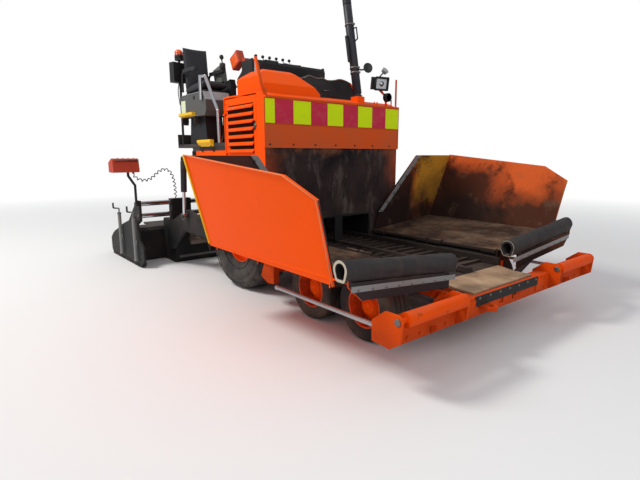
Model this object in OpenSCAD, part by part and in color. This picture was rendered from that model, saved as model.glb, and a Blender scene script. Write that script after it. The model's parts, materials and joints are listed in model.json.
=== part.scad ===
/* Compact wheeled asphalt paver: folding hopper, push rollers, operator's deck and a
   hydraulically extending screed. Millimetres. +X is the direction of travel,
   +Y the machine's left, +Z up. The origin lies on the ground under its middle. */

/* [Body] */
// Half width of the body, at its side panels
body_half = 870; // [860:5:880]
// Height of the bulkhead's top edge
bulk_top = 1870; // [1820:10:1900]
// Lower edge of the striped panel on the bulkhead
stripe_z = 1650; // [1600:10:1700]
// Lower edge of the plain panel on the bulkhead
panel_z = 1437; // [1400:5:1480]
// Height of the ridge of the engine hood
hood_z = 2180; // [2100:10:2250]
// Height of the operator's deck
deck_z = 1500; // [1480:10:1530]
// Height of the exhaust's mouth
stack_z = 3050; // [2700:10:3100]

/* [Wheels] */
// Outer radius of a rear tyre
rear_r = 546; // [535:1:550]
// Width of a rear tyre
rear_w = 355; // [320:5:360]
// Radius of a rear rim
rim_r = 270; // [255:1:280]
// Outer radius of a front tyre
front_r = 265; // [255:1:268]
// Width of a front tyre
front_w = 230; // [200:5:240]
// Distance between the two front axles
bogie_pitch = 640; // [620:5:650]
// Distance from the bulkhead back to the rear axle
rear_axle = 625; // [620:1:640]

/* [Hopper] */
// Half distance between the hinge pins of the wings
hinge_y = 465; // [460:1:475]
// Height of the hinge pins
hinge_z = 550; // [545:1:565]
// Rise of a wing's floor outwards, degrees
floor_slope = 5.5; // [4:0.5:6]
// Half width of the hopper floor at the bulkhead
foot_y = 1460; // [1400:10:1480]
// Lean of the side plates outwards, degrees
side_lean = 17.6; // [12:0.2:20]
// Turn of the side plates inwards to the front, degrees
side_toe = 2.2; // [0:0.2:3]
// Height of the wings at the bulkhead
wing_z = 1370; // [1200:10:1400]
// Thickness of the hopper plates
plate_t = 12; // [8:1:14]

/* [Push rollers] */
// Distance from the bulkhead to the roller axis
roller_x = 1960; // [1950:5:2000]
// Height of the roller axis
roller_z = 456; // [440:1:480]
// Radius of a push roller
roller_r = 45; // [35:1:55]
// Length of a push roller
roller_len = 560; // [500:5:600]
// Half length of the bumper beam
beam_half = 1280; // [1260:5:1320]

/* [Screed] */
// Distance from the bulkhead back to the screed's front face
screed_x = 2160; // [2150:5:2200]
// Half width of the main screed
screed_half = 900; // [890:5:905]
// Depth of the main screed from front to back
screed_depth = 370; // [350:5:380]
// Height of the main screed's body
screed_top = 560; // [520:5:580]
// Position of the end gates' inner faces from the middle
gate_y = 1310; // [1300:5:1330]
// Length from the screed's front face to the back of the walkway
walk_reach = 1340; // [1250:10:1400]
// Outer radius of the augers
auger_r = 150; // [130:5:160]
// Radius of the guide tubes
guide_r = 30; // [25:1:32]

/* [Hidden] */

RIGHT = -1;
LEFT = 1;
$fn = 40;
fit_gap = 0.05;
seat_gap = 0.3;
free_gap = 6;

orange = [1, 0.36, 0];
black = [0.08, 0.08, 0.09];
steel = [0.5, 0.5, 0.52];
chrome = [0.8, 0.8, 0.82];
rubber = [0.1, 0.1, 0.1];
yellow = [0.9, 0.8, 0.1];
grey = [0.35, 0.36, 0.37];

// Reaches from the bulkhead's face set the origin at the middle of the length
front_reach = roller_x + roller_r;
rear_reach = screed_x + walk_reach;
bulk_x = (rear_reach - front_reach) / 2;

// Rails
rail_t = 40;
tyre_gap = 35;
rail_y1 = body_half - rear_w - tyre_gap;
rail_y0 = rail_y1 - rail_t;
guard_t = 30;
rail_z0 = 300;
rail_z1 = hinge_z - 60;
rail_front = 1580;
rail_rear = -1450;
tank_z0 = 1130;
tank_z1 = 1340;
sill_z = 1420;
tank_rear = -1560;
bulk_t = 20;
skin = 14;

// Front wheels
axle_1 = 1240;
axle_2 = axle_1 - bogie_pitch;
bogie_x = (axle_1 + axle_2) / 2;
bogie_z = 360;
bogie_pin_r = 40;
bogie_t = 26;
king_y = body_half - 310;
king_r = 22;
yoke_half = 100;
yoke_t = 24;
yoke_r = 38;
stub_r = 25;
front_y = body_half - 30 - front_w / 2;
hub_out = front_y + 63;

// Rear wheels
rear_y = body_half - rear_w / 2;
shaft_r = 60;
housing_r = 95;

// Tow arms and their pivots
tow_x = 110;
tow_z = 480;
tow_pin_r = 22;
tow_y0 = body_half + 55;
tow_t = 40;
tow_y1 = tow_y0 + tow_t;

// Lift cylinders of the screed
lift_top = [-1500, 1330];
lift_foot = [-1560, 670];
lift_pin_r = 15;
lift_eye_t = 36;
lift_barrel_r = 34;
lift_y = tow_y1 + lift_barrel_r + 7;
lift_rod_r = 18;

// Lift cylinders of the wings
wcyl_x = 1640;
wcyl_in = [rail_y1 + 65, 345];
wcyl_out = [hinge_y + 535, hinge_z - 10];
wcyl_pin_r = 14;
wcyl_barrel_r = 28;
wcyl_rod_r = 15;
wcyl_eye_t = 34;

// Bumper beam
beam_x0 = 1800;
beam_x1 = 1900;
beam_z0 = roller_z - 176;
beam_z1 = roller_z - 36;
nose_y0 = rail_y0 - 40;
roller_y0 = beam_half - 62 - roller_len;
roller_y1 = roller_y0 + roller_len;
roller_pin_r = 15;
ear_t = 14;

// Screed
screed_x0 = -screed_x;
screed_x1 = screed_x0 - screed_depth;
ext_gap = 10;
ext_x0 = screed_x1 - ext_gap;
ext_depth = 300;
ext_x1 = ext_x0 - ext_depth;
ext_top = 440;
guide_x = screed_x0 - 140;
guide_z = [screed_top + 70, screed_top + 220];
guide_in = 450;
shoe_y0 = 620;
shoe_y1 = 880;
auger_x = -1800;
auger_z = 330;
auger_y0 = 60;
auger_len = 780;
gate_t = 25;
walk_z = 360;
walk_t = 25;

// Engine house
house_rear = -750;
house_z = 1935;
door_x0 = -720;
door_x1 = -130;
door_t = 22;
door_z0 = tank_z1 + 10;
door_z1 = house_z - 20;
door_hinge_r = 10;
door_pin_r = 5;
door_hinge_z = [door_z0 + 40, door_z1 - 140];
door_axis_y = body_half + 4;
engine_x0 = house_rear + 60;
engine_x1 = -160;
engine_z0 = tank_z0 - 80;

// Mirrors a left-hand piece to the right
module on_side(side) {
    if (side == LEFT) children();
    else mirror([0, 1, 0]) children();
}

module both_sides() {
    for (side = [RIGHT, LEFT]) on_side(side) children();
}

// Extrudes an outline of x and z points from y0 to y1
module along_y(y0, y1) {
    translate([0, y1, 0]) rotate([90, 0, 0]) linear_extrude(y1 - y0) children();
}

// Extrudes an outline of y and z points from x0 to x1
module along_x(x0, x1) {
    translate([x0, 0, 0]) rotate([90, 0, 90]) linear_extrude(x1 - x0) children();
}

// A box between two opposite corners
module block(lo, hi) {
    translate(lo) cube(hi - lo);
}

// A round bar between two points
module bar(p, q, r) {
    d = q - p;
    translate(p) rotate([0, acos(d[2] / norm(d)), atan2(d[1], d[0])]) cylinder(h = norm(d), r = r);
}

// A round bar through a list of points, with a slightly thicker ball at each bend
module bent_bar(points, r) {
    for (i = [0 : len(points) - 2]) bar(points[i], points[i + 1], r);
    for (i = [1 : len(points) - 2]) translate(points[i]) sphere(r = 1.06 * r);
}

// A round pin along y through the point x, z
module pin_y(at, y0, y1, r) {
    translate([at[0], y1, at[1]]) rotate([90, 0, 0]) cylinder(h = y1 - y0, r = r);
}

// Rails, cross members, tanks beside the engine, tow brackets and hinge lugs
module main_frame() {
    color(orange) translate([bulk_x, 0, 0]) {
        both_sides() {
            rail();
            side_tank();
            tow_bracket();
            lift_bracket();
            wing_hinge_pin();
            wing_cylinder_lugs();
        }
        for (x = [1380, bogie_x + 60, -120, -1000])
            block([x, -rail_y0, rail_z0], [x + 120, rail_y0, rail_z0 + 50]);
        for (x = [rail_rear, engine_x0 + 40, engine_x1 - 140])
            block([x, -rail_y0, engine_z0 - 60], [x + 100, rail_y0, engine_z0]);
        auger_carrier();
    }
}

module rail() {
    difference() {
        along_y(rail_y0, rail_y1) polygon([
            [rail_rear, tank_z0], [rail_rear, 500], [rail_rear + 160, rail_z0], [rail_front + 220, rail_z0],
            [rail_front + 220, beam_z1 - 10], [rail_front, beam_z1 - 10], [rail_front, rail_z1],
            [-bulk_t, rail_z1], [-bulk_t, tank_z0]]);
        pin_y([-rear_axle, rear_r], rail_y0 - 1, rail_y1 + 1, housing_r + fit_gap);
        pin_y([bogie_x, bogie_z], rail_y0 - 1, rail_y1 + 1, bogie_pin_r + fit_gap);
    }
}

// Fuel and oil tanks beside the engine bay, over the rear wheels
module side_tank() {
    block([house_rear, rail_y0, tank_z0], [-bulk_t, body_half, tank_z1]);
    along_y(rail_y0, body_half) polygon([
        [tank_rear, tank_z0 + 40], [tank_rear + 60, tank_z0], [house_rear, tank_z0],
        [house_rear, sill_z], [tank_rear, sill_z]]);
}

module tow_bracket() {
    block([tow_x - 50, rail_y1, rail_z0 + 20], [tow_x + 50, body_half - 5, rail_z0 + 110]);
    along_y(body_half - 5, tow_y0 - free_gap) union() {
        polygon([[tow_x - 150, 260], [tow_x - 40, 210], [tow_x + 60, 220], [tow_x + 70, 400],
            [tow_x + 55, tow_z], [tow_x - 55, tow_z], [tow_x - 90, 400]]);
        translate([tow_x, tow_z]) circle(r = 55);
    }
    pin_y([tow_x, tow_z], tow_y0 - free_gap, tow_y1, tow_pin_r);
}

// Bracket on the tank's side with the upper pin of a lift cylinder
module lift_bracket() {
    along_y(body_half, tow_y0) polygon([
        [tank_rear, sill_z - 160], [tank_rear + 140, sill_z - 160],
        [lift_top[0] + 32, lift_top[1] + 36], [lift_top[0] - 32, lift_top[1] + 36]]);
    pin_y(lift_top, tow_y0, lift_y + lift_eye_t / 2 + 8, lift_pin_r);
}

hinge_lug_r = 24;
hinge_pin_r = 16;
knuckle_tube_r = 28;
hinge_xs = [70, 800, 1530];
lug_t = 16;

// Hinge pin of a wing on its three lugs
module wing_hinge_pin() {
    for (x = hinge_xs) along_x(x, x + lug_t) union() {
        translate([hinge_y, hinge_z]) circle(r = hinge_lug_r);
        polygon([[rail_y0, rail_z1], [rail_y1, rail_z1], [hinge_y + hinge_lug_r, hinge_z],
            [hinge_y - hinge_lug_r, hinge_z]]);
    }
    translate([hinge_xs[0], hinge_y, hinge_z]) rotate([0, 90, 0])
        cylinder(h = hinge_xs[2] - hinge_xs[0] + lug_t, r = hinge_pin_r);
}

// Two lugs on the nose of the rail, with the inner pin of a wing cylinder
module wing_cylinder_lugs() {
    lug = wcyl_eye_t / 2 + 4;
    for (x = [wcyl_x - lug - lug_t, wcyl_x + lug]) along_x(x, x + lug_t) union() {
        translate(wcyl_in) circle(r = 32);
        polygon([[rail_y1, rail_z0], [wcyl_in[0], wcyl_in[1] - 32], [wcyl_in[0], wcyl_in[1] + 32],
            [rail_y1, beam_z1 - 10]]);
    }
    translate([wcyl_x - lug - lug_t, wcyl_in[0], wcyl_in[1]]) rotate([0, 90, 0])
        cylinder(h = 2 * (lug + lug_t), r = wcyl_pin_r);
}

// Hanger and drive box of the augers, behind the frame
module auger_carrier() {
    arm_z = hinge_z + 210;
    along_y(-auger_y0 + 20, auger_y0 - 20) polygon([
        [rail_rear + 10, arm_z], [rail_rear + 10, arm_z + 120], [auger_x - 20, arm_z + 60],
        [auger_x - 60, arm_z], [auger_x - 45, auger_z - 50], [auger_x + 45, auger_z - 50],
        [auger_x + 60, arm_z - 60], [auger_x + 110, arm_z - 20]]);
    block([rail_rear, -rail_y0, arm_z], [rail_rear + 40, rail_y0, arm_z + 120]);
    pin_y([auger_x, auger_z], -auger_y0 - 60, auger_y0 + 60, 24);
}

// Final drives in the rails, each with the shaft that carries a rear wheel
module rear_axle_housing() {
    color(black) translate([bulk_x, 0, 0]) both_sides() {
        pin_y([-rear_axle, rear_r], rail_y0 + 2, rail_y1 + 12, housing_r);
        pin_y([-rear_axle, rear_r], rail_y1, rail_y1 + 20, housing_r + 45);
        pin_y([-rear_axle, rear_r], rail_y1, rear_y + 60, shaft_r);
    }
}

// Walking beams of the front wheels with their yokes, on a cross shaft
module front_bogie() {
    color(black) translate([bulk_x, 0, 0]) {
        both_sides() walking_beam();
        pin_y([bogie_x, bogie_z], -rail_y1 - 2, rail_y1 + 2, bogie_pin_r);
    }
}

module walking_beam() {
    y0 = rail_y1 + 2;
    difference() {
        union() {
            along_y(y0, y0 + bogie_t) polygon([
                [axle_2 - yoke_r, front_r - yoke_half], [axle_2 + yoke_r + 30, front_r - yoke_half],
                [bogie_x, bogie_z - 70], [axle_1 - yoke_r - 30, front_r - yoke_half],
                [axle_1 + yoke_r, front_r - yoke_half], [axle_1 + yoke_r, front_r + yoke_half],
                [axle_1 - yoke_r, front_r + yoke_half], [bogie_x + 60, bogie_z + 50],
                [bogie_x - 60, bogie_z + 50], [axle_2 + yoke_r, front_r + yoke_half],
                [axle_2 - yoke_r, front_r + yoke_half]]);
            for (x = [axle_1, axle_2], z = [front_r - yoke_half, front_r + yoke_half - yoke_t]) {
                block([x - yoke_r, y0 + 1, z], [x + yoke_r, king_y, z + yoke_t]);
                translate([x, king_y, z]) cylinder(h = yoke_t, r = yoke_r);
            }
        }
        for (x = [axle_1, axle_2]) translate([x, king_y, 0]) cylinder(h = 2 * front_r, r = king_r + fit_gap);
    }
}

// Beam across the nose with its end plates, pockets, roller pins and tow eye
module bumper_beam() {
    color(orange) translate([bulk_x, 0, 0]) difference() {
        union() {
            block([beam_x0, -beam_half + ear_t, beam_z0], [beam_x1, beam_half - ear_t, beam_z1]);
            both_sides() {
                for (y = [beam_half - ear_t, roller_y0 - ear_t - 8]) along_y(y, y + ear_t) roller_ear();
                pin_y([roller_x, roller_z], roller_y0 - ear_t - 8, beam_half, roller_pin_r);
                along_y(roller_y0 + 60, roller_y0 + 74) polygon([
                    [beam_x0 - 60, beam_z0 + 40], [beam_x0, beam_z0 + 10],
                    [beam_x0, beam_z1], [beam_x0 - 60, beam_z1 - 30]]);
            }
            tow_eye_body();
        }
        translate([beam_x1 + 55, -330, beam_z0]) cylinder(h = 200, r = 26);
        block([beam_x1 - 40, -395, beam_z0 + 60], [beam_x1 + 1, -365, beam_z0 + 110]);
        for (y = [-120, 60]) block([beam_x1 - 12, y, beam_z0 + 30], [beam_x1 + 1, y + 60, beam_z1 - 30]);
    }
}

// Ear that holds the end of a roller pin, rounded over the pin
module roller_ear() {
    translate([roller_x - 8, roller_z]) circle(r = 40);
    polygon([[beam_x0 - 40, beam_z0 + 10], [beam_x1, beam_z0], [roller_x + 20, beam_z0 + 50],
        [roller_x + 32, roller_z], [roller_x - 8, roller_z + 40], [beam_x0 + 60, roller_z + 40],
        [beam_x0 - 40, beam_z1]]);
}

// Eye plate for towing, right of the middle
module tow_eye_body() {
    translate([beam_x1 + 55, -330, beam_z0 + 45]) cylinder(h = 26, r = 50);
    block([beam_x1 - 1, -380, beam_z0 + 45], [beam_x1 + 55, -280, beam_z0 + 71]);
}

// Push rods beside the front wheels, held by the beam
module guide_rods() {
    color(grey) translate([bulk_x, 0, 0]) both_sides() {
        translate([650, beam_half - 80, beam_z0 + 70]) rotate([0, 90, 0]) cylinder(h = beam_x0 - 650, r = 15);
        translate([650, beam_half - 80, beam_z0 + 70]) sphere(r = 20);
    }
}

slat_pitch = 120;
slat_count = 24;

// Conveyor pan with its slats above and below, the middle guard and edge guards
module conveyor() {
    x0 = rail_rear + 40;
    x1 = rail_front;
    pan_z0 = rail_z1 - 60;
    pan_z1 = pan_z0 + 25;
    color(steel) translate([bulk_x, 0, 0]) {
        block([x0, -rail_y0 + 1, pan_z0], [x1, rail_y0 - 1, pan_z1]);
        both_sides() {
            for (i = [0 : slat_count - 1])
                block([x0 + 40 + i * slat_pitch, 34, pan_z1 - 1], [x0 + 70 + i * slat_pitch, rail_y0 - guard_t - 10, pan_z1 + 22]);
            block([x0, rail_y0 - guard_t - 5, pan_z1 - 1], [x1, rail_y0 - 5, pan_z1 + 60]);
        }
        along_x(x0, x1) polygon([[-30, pan_z1 - 1], [30, pan_z1 - 1], [22, pan_z1 + 40], [-22, pan_z1 + 40]]);
    }
}

// Rubber lip that hangs from the conveyor's front edge to the beam
module apron_lip() {
    edge = rail_z1 - 60;
    color(rubber) translate([bulk_x, 0, 0]) along_y(-nose_y0, nose_y0) polygon([
        [rail_front, edge], [rail_front, edge + 25], [rail_front + 30, edge + 22],
        [rail_front + 150, beam_z1 + 16], [beam_x0 + 70, beam_z1 + 14], [beam_x0 + 70, beam_z1],
        [rail_front + 150, beam_z1], [rail_front + 30, edge]]);
}

// Wall between hopper and engine: stained plate with two tunnels, upper panels, rail and posts
module bulkhead() {
    tunnel_top = hinge_z + 200;
    color(orange) translate([bulk_x, 0, 0]) {
        difference() {
            block([-bulk_t, -body_half, rail_z1], [0, body_half, bulk_top]);
            block([-bulk_t - 1, -rail_y0, rail_z1 - 1], [1, -40, tunnel_top]);
            block([-bulk_t - 1, 40, rail_z1 - 1], [1, rail_y0, tunnel_top]);
            block([-bulk_t - 1, -41, rail_z1 - 1], [1, 41, rail_z1 + 6]);
        }
        block([0, -body_half, panel_z], [8, body_half, stripe_z]);
        block([0, -body_half, stripe_z], [skin, body_half, bulk_top]);
        block([-bulk_t, -body_half, bulk_top], [24, body_half, bulk_top + 18]);
        bar([-bulk_t / 2, body_half - 20, bulk_top + 17], [-bulk_t / 2, body_half - 20, bulk_top + 310], 10);
        bent_bar([[-bulk_t / 2, 20 - body_half, bulk_top + 17], [-bulk_t / 2, -body_half - 20, bulk_top + 120],
            [-bulk_t / 2, -body_half - 70, bulk_top + 330]], 10);
    }
}

// Roof over the engine bay with its rounded doghouse, dark cover, rear wall and corner posts
module engine_hood() {
    roof = [[-bulk_t, bulk_top], [door_x1, house_z - skin], [house_rear, house_z - skin],
        [house_rear, house_z], [door_x1, house_z], [-bulk_t, bulk_top + 18]];
    translate([bulk_x, 0, 0]) {
        color(orange) {
            along_y(-body_half, body_half) polygon(roof);
            both_sides() {
                along_y(body_half - door_t, body_half) polygon([[door_x1, tank_z1], [-bulk_t, tank_z1],
                    [-bulk_t, bulk_top], [door_x1, house_z - skin]]);
            }
            difference() {
                block([house_rear, -body_half, tank_z0 + 1], [house_rear + skin, body_half, house_z]);
                both_sides() block([house_rear - 1, rail_y0 - 1, tank_z0], [house_rear + skin + 1,
                    body_half + 1, tank_z1]);
            }
            doghouse();
            block([stack_foot_x - 52, stack_y - 50, house_z - 35], [stack_foot_x + 52, stack_y + 50, stack_foot_z]);
            both_sides() for (z = door_hinge_z) door_hinge(z);
        }
        color(black) intake_cover();
    }
}

// Pin of a side door on its bracket below the hinge tube
module door_hinge(z) {
    block([house_rear + 1, body_half, z - 14], [door_x0 + door_hinge_r, door_axis_y + door_hinge_r, z - seat_gap]);
    block([house_rear, body_half - 10, z - 14], [house_rear + skin, body_half + 1, z - seat_gap]);
    translate([door_x0, door_axis_y, z - 10]) cylinder(h = 90, r = door_pin_r);
}

// Orange housing on the right of the roof, chamfered to front and sides
module doghouse() {
    intersection() {
        along_y(100 - body_half, -110) polygon([[-640, house_z - 1], [-150, house_z - 1], [-160, house_z + 90],
            [-300, hood_z - 30], [-360, hood_z], [-600, hood_z], [-640, hood_z - 40]]);
        along_x(-650, -140) polygon([[100 - body_half, house_z - 2], [-110, house_z - 2], [-110, house_z + 30],
            [-330, hood_z + 1], [230 - body_half, hood_z + 1], [100 - body_half, hood_z - 80]]);
    }
}

// Low dark cover with a waved top, left of the housing
module intake_cover() {
    wave = [for (i = [0 : 12]) [-100 + i * 36, house_z + 140 + 14 * sin(i * 90)]];
    along_x(-700, -330) polygon(concat([[-100, house_z - 1]], wave, [[332, house_z - 1]]));
}

// Engine, as one block at its place
module engine_block() {
    color(grey) translate([bulk_x, 0, 0])
        block([engine_x0, -330, engine_z0], [engine_x1, 330, house_z - 160]);
}

deck_rear = -1950;

// Operator's deck with skirts, standing on the tanks
module deck() {
    color(black) translate([bulk_x, 0, 0]) {
        block([deck_rear, -body_half, deck_z - 40], [house_rear, body_half, deck_z]);
        block([tank_rear, -body_half + 10, sill_z], [house_rear, body_half - 10, deck_z - 40]);
        along_y(-rail_y0 + 10, rail_y0 - 10) polygon([[tank_rear, sill_z - 200], [rail_rear + 40, tank_z0],
            [rail_rear + 100, tank_z0], [rail_rear + 100, sill_z], [deck_rear + 20, deck_z - 40],
            [tank_rear, sill_z - 60]]);
        block([deck_rear, -body_half, deck_z], [deck_rear + 8, body_half, deck_z + 120]);
    }
}

box_x0 = -1800;
box_x1 = -1150;
box_in = body_half - 310;
box_z0 = 1800;
box_z1 = 2050;

// Grey boxes that carry the seats at both sides, on recessed pedestals
module side_boxes() {
    color(grey) translate([bulk_x, 0, 0]) both_sides() {
        along_y(box_in, body_half) polygon([[box_x0, box_z0], [box_x1 - 40, box_z0], [box_x1, box_z0 + 50],
            [box_x1, box_z1 - 90], [box_x1 - 60, box_z1], [box_x0 + 30, box_z1], [box_x0, box_z1 - 40]]);
        along_y(box_in + 40, body_half - 60) polygon([[box_x0 + 80, deck_z], [box_x1 - 120, deck_z],
            [box_x1 - 160, box_z0], [box_x0 + 120, box_z0]]);
    }
}

// Console between the seats: pedestal, sloping desk with a rim, lever and grab rails
module console() {
    desk = [[-1130, deck_z + 690], [-880, deck_z + 850], [-820, deck_z + 860], [-800, deck_z + 800],
        [-820, deck_z + 560], [-1090, deck_z + 560], [-1150, deck_z + 650]];
    color(black) translate([bulk_x, 0, 0]) {
        along_y(-200, 200) polygon([[-1040, deck_z], [-830, deck_z], [-830, deck_z + 570], [-1040, deck_z + 570]]);
        along_y(-480, 480) polygon(desk);
        both_sides() along_y(470, 490) polygon([for (p = desk) p + [0, 12]]);
        bent_bar([[-1120, -300, deck_z + 690], [-1170, -300, deck_z + 760], [-1170, -120, deck_z + 760],
            [-1120, -120, deck_z + 690]], 9);
    }
}

// Seats with pan, reclined back and arm rests, on the side boxes
module seats() {
    color(black) translate([bulk_x, 0, 0]) both_sides() {
        along_y(box_in - 20, body_half - 20) polygon([[-1720, box_z1], [-1290, box_z1], [-1250, box_z1 + 50],
            [-1260, box_z1 + 110], [-1300, box_z1 + 120], [-1720, box_z1 + 105]]);
        along_y(box_in, body_half - 40) polygon([[-1720, box_z1 + 20], [-1625, box_z1 + 80],
            [-1715, box_z1 + 500], [-1760, box_z1 + 520], [-1800, box_z1 + 490], [-1750, box_z1 + 60]]);
        for (y = [box_in - 40, body_half - 35]) along_y(y, y + 35) polygon([[-1690, box_z1 + 40], [-1650, box_z1 + 40],
            [-1640, box_z1 + 230], [-1360, box_z1 + 220], [-1360, box_z1 + 270], [-1700, box_z1 + 280]]);
    }
}

// Chromed rails round the deck
module handrails() {
    rail_r = 16;
    foot_gap = 0.6;
    y = body_half - 25;
    color(chrome) translate([bulk_x, 0, 0]) {
        both_sides() bent_bar([[-920, y, deck_z + foot_gap], [-930, y, 1830], [-1120, y + 35, 2190],
            [-1230, body_half + rail_r + seat_gap, 2200], [-1230, body_half + rail_r + seat_gap, 1960]], rail_r);
        bent_bar([[deck_rear + 60, -600, deck_z], [deck_rear + 60, -600, 2240], [deck_rear + 60, 600, 2240],
            [deck_rear + 60, 600, deck_z]], rail_r);
    }
}

// Yellow treads on the outer sides of the deck and of the boxes
module steps() {
    color(yellow) translate([bulk_x, 0, 0]) both_sides() {
        along_x(-1320, -1000) polygon([[body_half, deck_z - 35], [body_half + 12, deck_z - 35],
            [body_half + 45, deck_z + 10], [body_half + 45, deck_z + 35], [body_half, deck_z + 35]]);
        along_x(-1790, -1420) polygon([[body_half, box_z0 + 5], [body_half + 12, box_z0 + 5],
            [body_half + 45, box_z0 + 20], [body_half + 45, box_z0 + 45], [body_half, box_z0 + 45]]);
    }
}

stack_tilt = 10.6;
stack_foot_z = house_z + 40;
stack_y = 370;
stack_foot_x = -113;

// Exhaust stack leaning back, with foot flange, clamps, shield pipe, handle and flared mouth
module exhaust_stack() {
    len = (stack_z - stack_foot_z) / cos(stack_tilt);
    color(black) translate([bulk_x + stack_foot_x, stack_y, stack_foot_z]) {
        cylinder(h = 14, r = 48);
        difference() {
            rotate([0, -stack_tilt, 0]) union() {
                translate([0, 0, -30]) cylinder(h = len - 20, r = 38);
                translate([0, 0, len - 130]) cylinder(h = 124, r = 46);
                for (z = [240, 290, 740]) translate([0, 0, z]) cylinder(h = 22, r = 44);
            }
            rotate([0, -stack_tilt, 0]) translate([0, 0, len - 300]) cylinder(h = 400, r = 34);
            block([-200, -200, -200], [200, 200, 6]);
        }
        rotate([0, -stack_tilt, 0]) bent_bar([[20, 0, 560], [95, 0, 575], [95, 0, 690], [20, 0, 705]], 7);
        rotate([0, -stack_tilt, 0]) bent_bar([[0, -10, 350], [0, -70, 370], [0, -70, 620], [0, -10, 640]], 12);
    }
}

// Two work lamps on a bent orange bracket at the left corner
module work_lamps() {
    y = body_half - 180;
    color(orange) translate([bulk_x, 0, 0])
        bent_bar([[-6, y, bulk_top + 18.6], [-10, y, bulk_top + 120], [-70, y - 40, bulk_top + 200]], 12);
    color(black) translate([bulk_x, 0, 0]) {
        translate([-70, y - 40, bulk_top + 260]) rotate([0, 10, -15]) difference() {
            block([-50, -80, -65], [50, 80, 65]);
            block([38, -66, -52], [51, 66, 52]);
        }
        translate([-10, y, bulk_top + 110]) rotate([0, 90, 0]) cylinder(h = 40, r = 46);
    }
}

// Mast at the right rear of the deck with a mirror box and the beacon
module beacon_mast() {
    x = -1860;
    y = 30 - body_half;
    color(black) translate([bulk_x, 0, 0]) {
        bar([x, y, deck_z], [x, y, 2470], 14);
        translate([x - 5, y - 5, 2210]) rotate([0, 0, 12]) block([-60, -90, 0], [25, 60, 225]);
        translate([x, y, 2460]) cylinder(h = 24, r = 50);
    }
    color("orangered") translate([bulk_x + x, y, 2484]) rotate_extrude() polygon([[0, -1], [47, -1], [47, 40],
        [43, 70], [33, 88], [18, 96], [0, 98]]);
}

// Hopper wing: floor on its hinge tubes, leaning side plate, rear wall, wiper strip and ribs
module wing(side) {
    on_side(side) translate([bulk_x, 0, 0]) {
        color(orange) {
            wing_floor();
            wing_side_plate();
            wing_rear_wall();
            wing_lugs();
        }
        color(grey) wing_wiper();
    }
}

wing_x0 = 30;
wing_x1 = 1550;
floor_x1 = 1700;
foot_z = hinge_z + (foot_y - hinge_y) * tan(floor_slope);
foot_front_y = foot_y - (wing_x1 - wing_x0) * tan(side_toe);

// Places an outline drawn outwards from the hinge on the sloping floor
module on_floor() {
    translate([0, hinge_y, hinge_z]) rotate([floor_slope, 0, 0]) children();
}

module wing_floor() {
    reach = (foot_y - hinge_y) / cos(floor_slope);
    front = (foot_front_y - hinge_y) / cos(floor_slope);
    gap = knuckle_tube_r + 2;
    on_floor() {
        difference() {
            translate([0, 0, -plate_t / 2]) linear_extrude(plate_t) polygon([
                [wing_x0, gap], [floor_x1, gap], [floor_x1, front], [wing_x1, front], [wing_x0, reach]]);
            for (x = hinge_xs) block([x - free_gap, 0, -20], [x + lug_t + free_gap, hinge_lug_r + 8, 20]);
        }
        for (x = [hinge_xs[0] + lug_t + 5, hinge_xs[1] - 145, hinge_xs[1] + lug_t + 5, hinge_xs[2] - 145])
            difference() {
                union() {
                    translate([x, 0, 0]) rotate([0, 90, 0]) cylinder(h = 140, r = knuckle_tube_r);
                    block([x, 10, -plate_t / 2], [x + 140, gap + 10, plate_t / 2]);
                }
                translate([x - 1, 0, 0]) rotate([0, 90, 0]) cylinder(h = 142, r = hinge_pin_r + fit_gap);
            }
        for (x = [wing_x0 + 20, 700, wing_x1 - 30])
            along_x(x, x + 12) polygon([[430, 0], [front - 2, 0], [front - 2, -60], [520, -40]]);
    }
    // steel strip that hangs from the front edge
    along_x(floor_x1, floor_x1 + 10) polygon([[hinge_y, hinge_z - 100], [foot_front_y - 90, foot_z - 120],
        [foot_front_y + 20, foot_z - 20], [foot_front_y + 20, foot_z + 20], [foot_front_y - 20, foot_z],
        [hinge_y, hinge_z + 6]]);
}

module wing_side_plate() {
    up = function(z) (z - foot_z) / cos(side_lean);
    translate([wing_x0, foot_y, foot_z]) rotate([0, 0, -side_toe]) rotate([90 - side_lean, 0, 0])
        linear_extrude(plate_t) polygon([[0, -22], [wing_x1 - wing_x0, up(590)], [1560, up(1120)],
            [1310, up(1250)], [100, up(wing_z)]]);
}

module wing_rear_wall() {
    inner = hinge_y + knuckle_tube_r + 12;
    tilt = 8;
    up = function(z) (z - foot_z) / cos(tilt);
    top_y = foot_y + (wing_z - foot_z) * tan(side_lean);
    translate([wing_x0 + 4, 0, foot_z]) rotate([0, tilt, 0]) along_x(0, plate_t) polygon([
        [inner, up(hinge_z + 10)], [foot_y - 8, up(foot_z)], [top_y - 10, up(wing_z) - 2],
        [1050, up(wing_z) - 2], [560, up(800)]]);
}

// Grey rubber strip along the slanting edge of the rear wall
module wing_wiper() {
    tilt = 8;
    up = function(z) (z - foot_z) / cos(tilt);
    translate([wing_x0 + 4 + plate_t, 0, foot_z]) rotate([0, tilt, 0]) along_x(0, 10) polygon([
        [530, up(760)], [590, up(760)], [1110, up(wing_z) - 4], [1046, up(wing_z) - 4]]);
}

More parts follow.
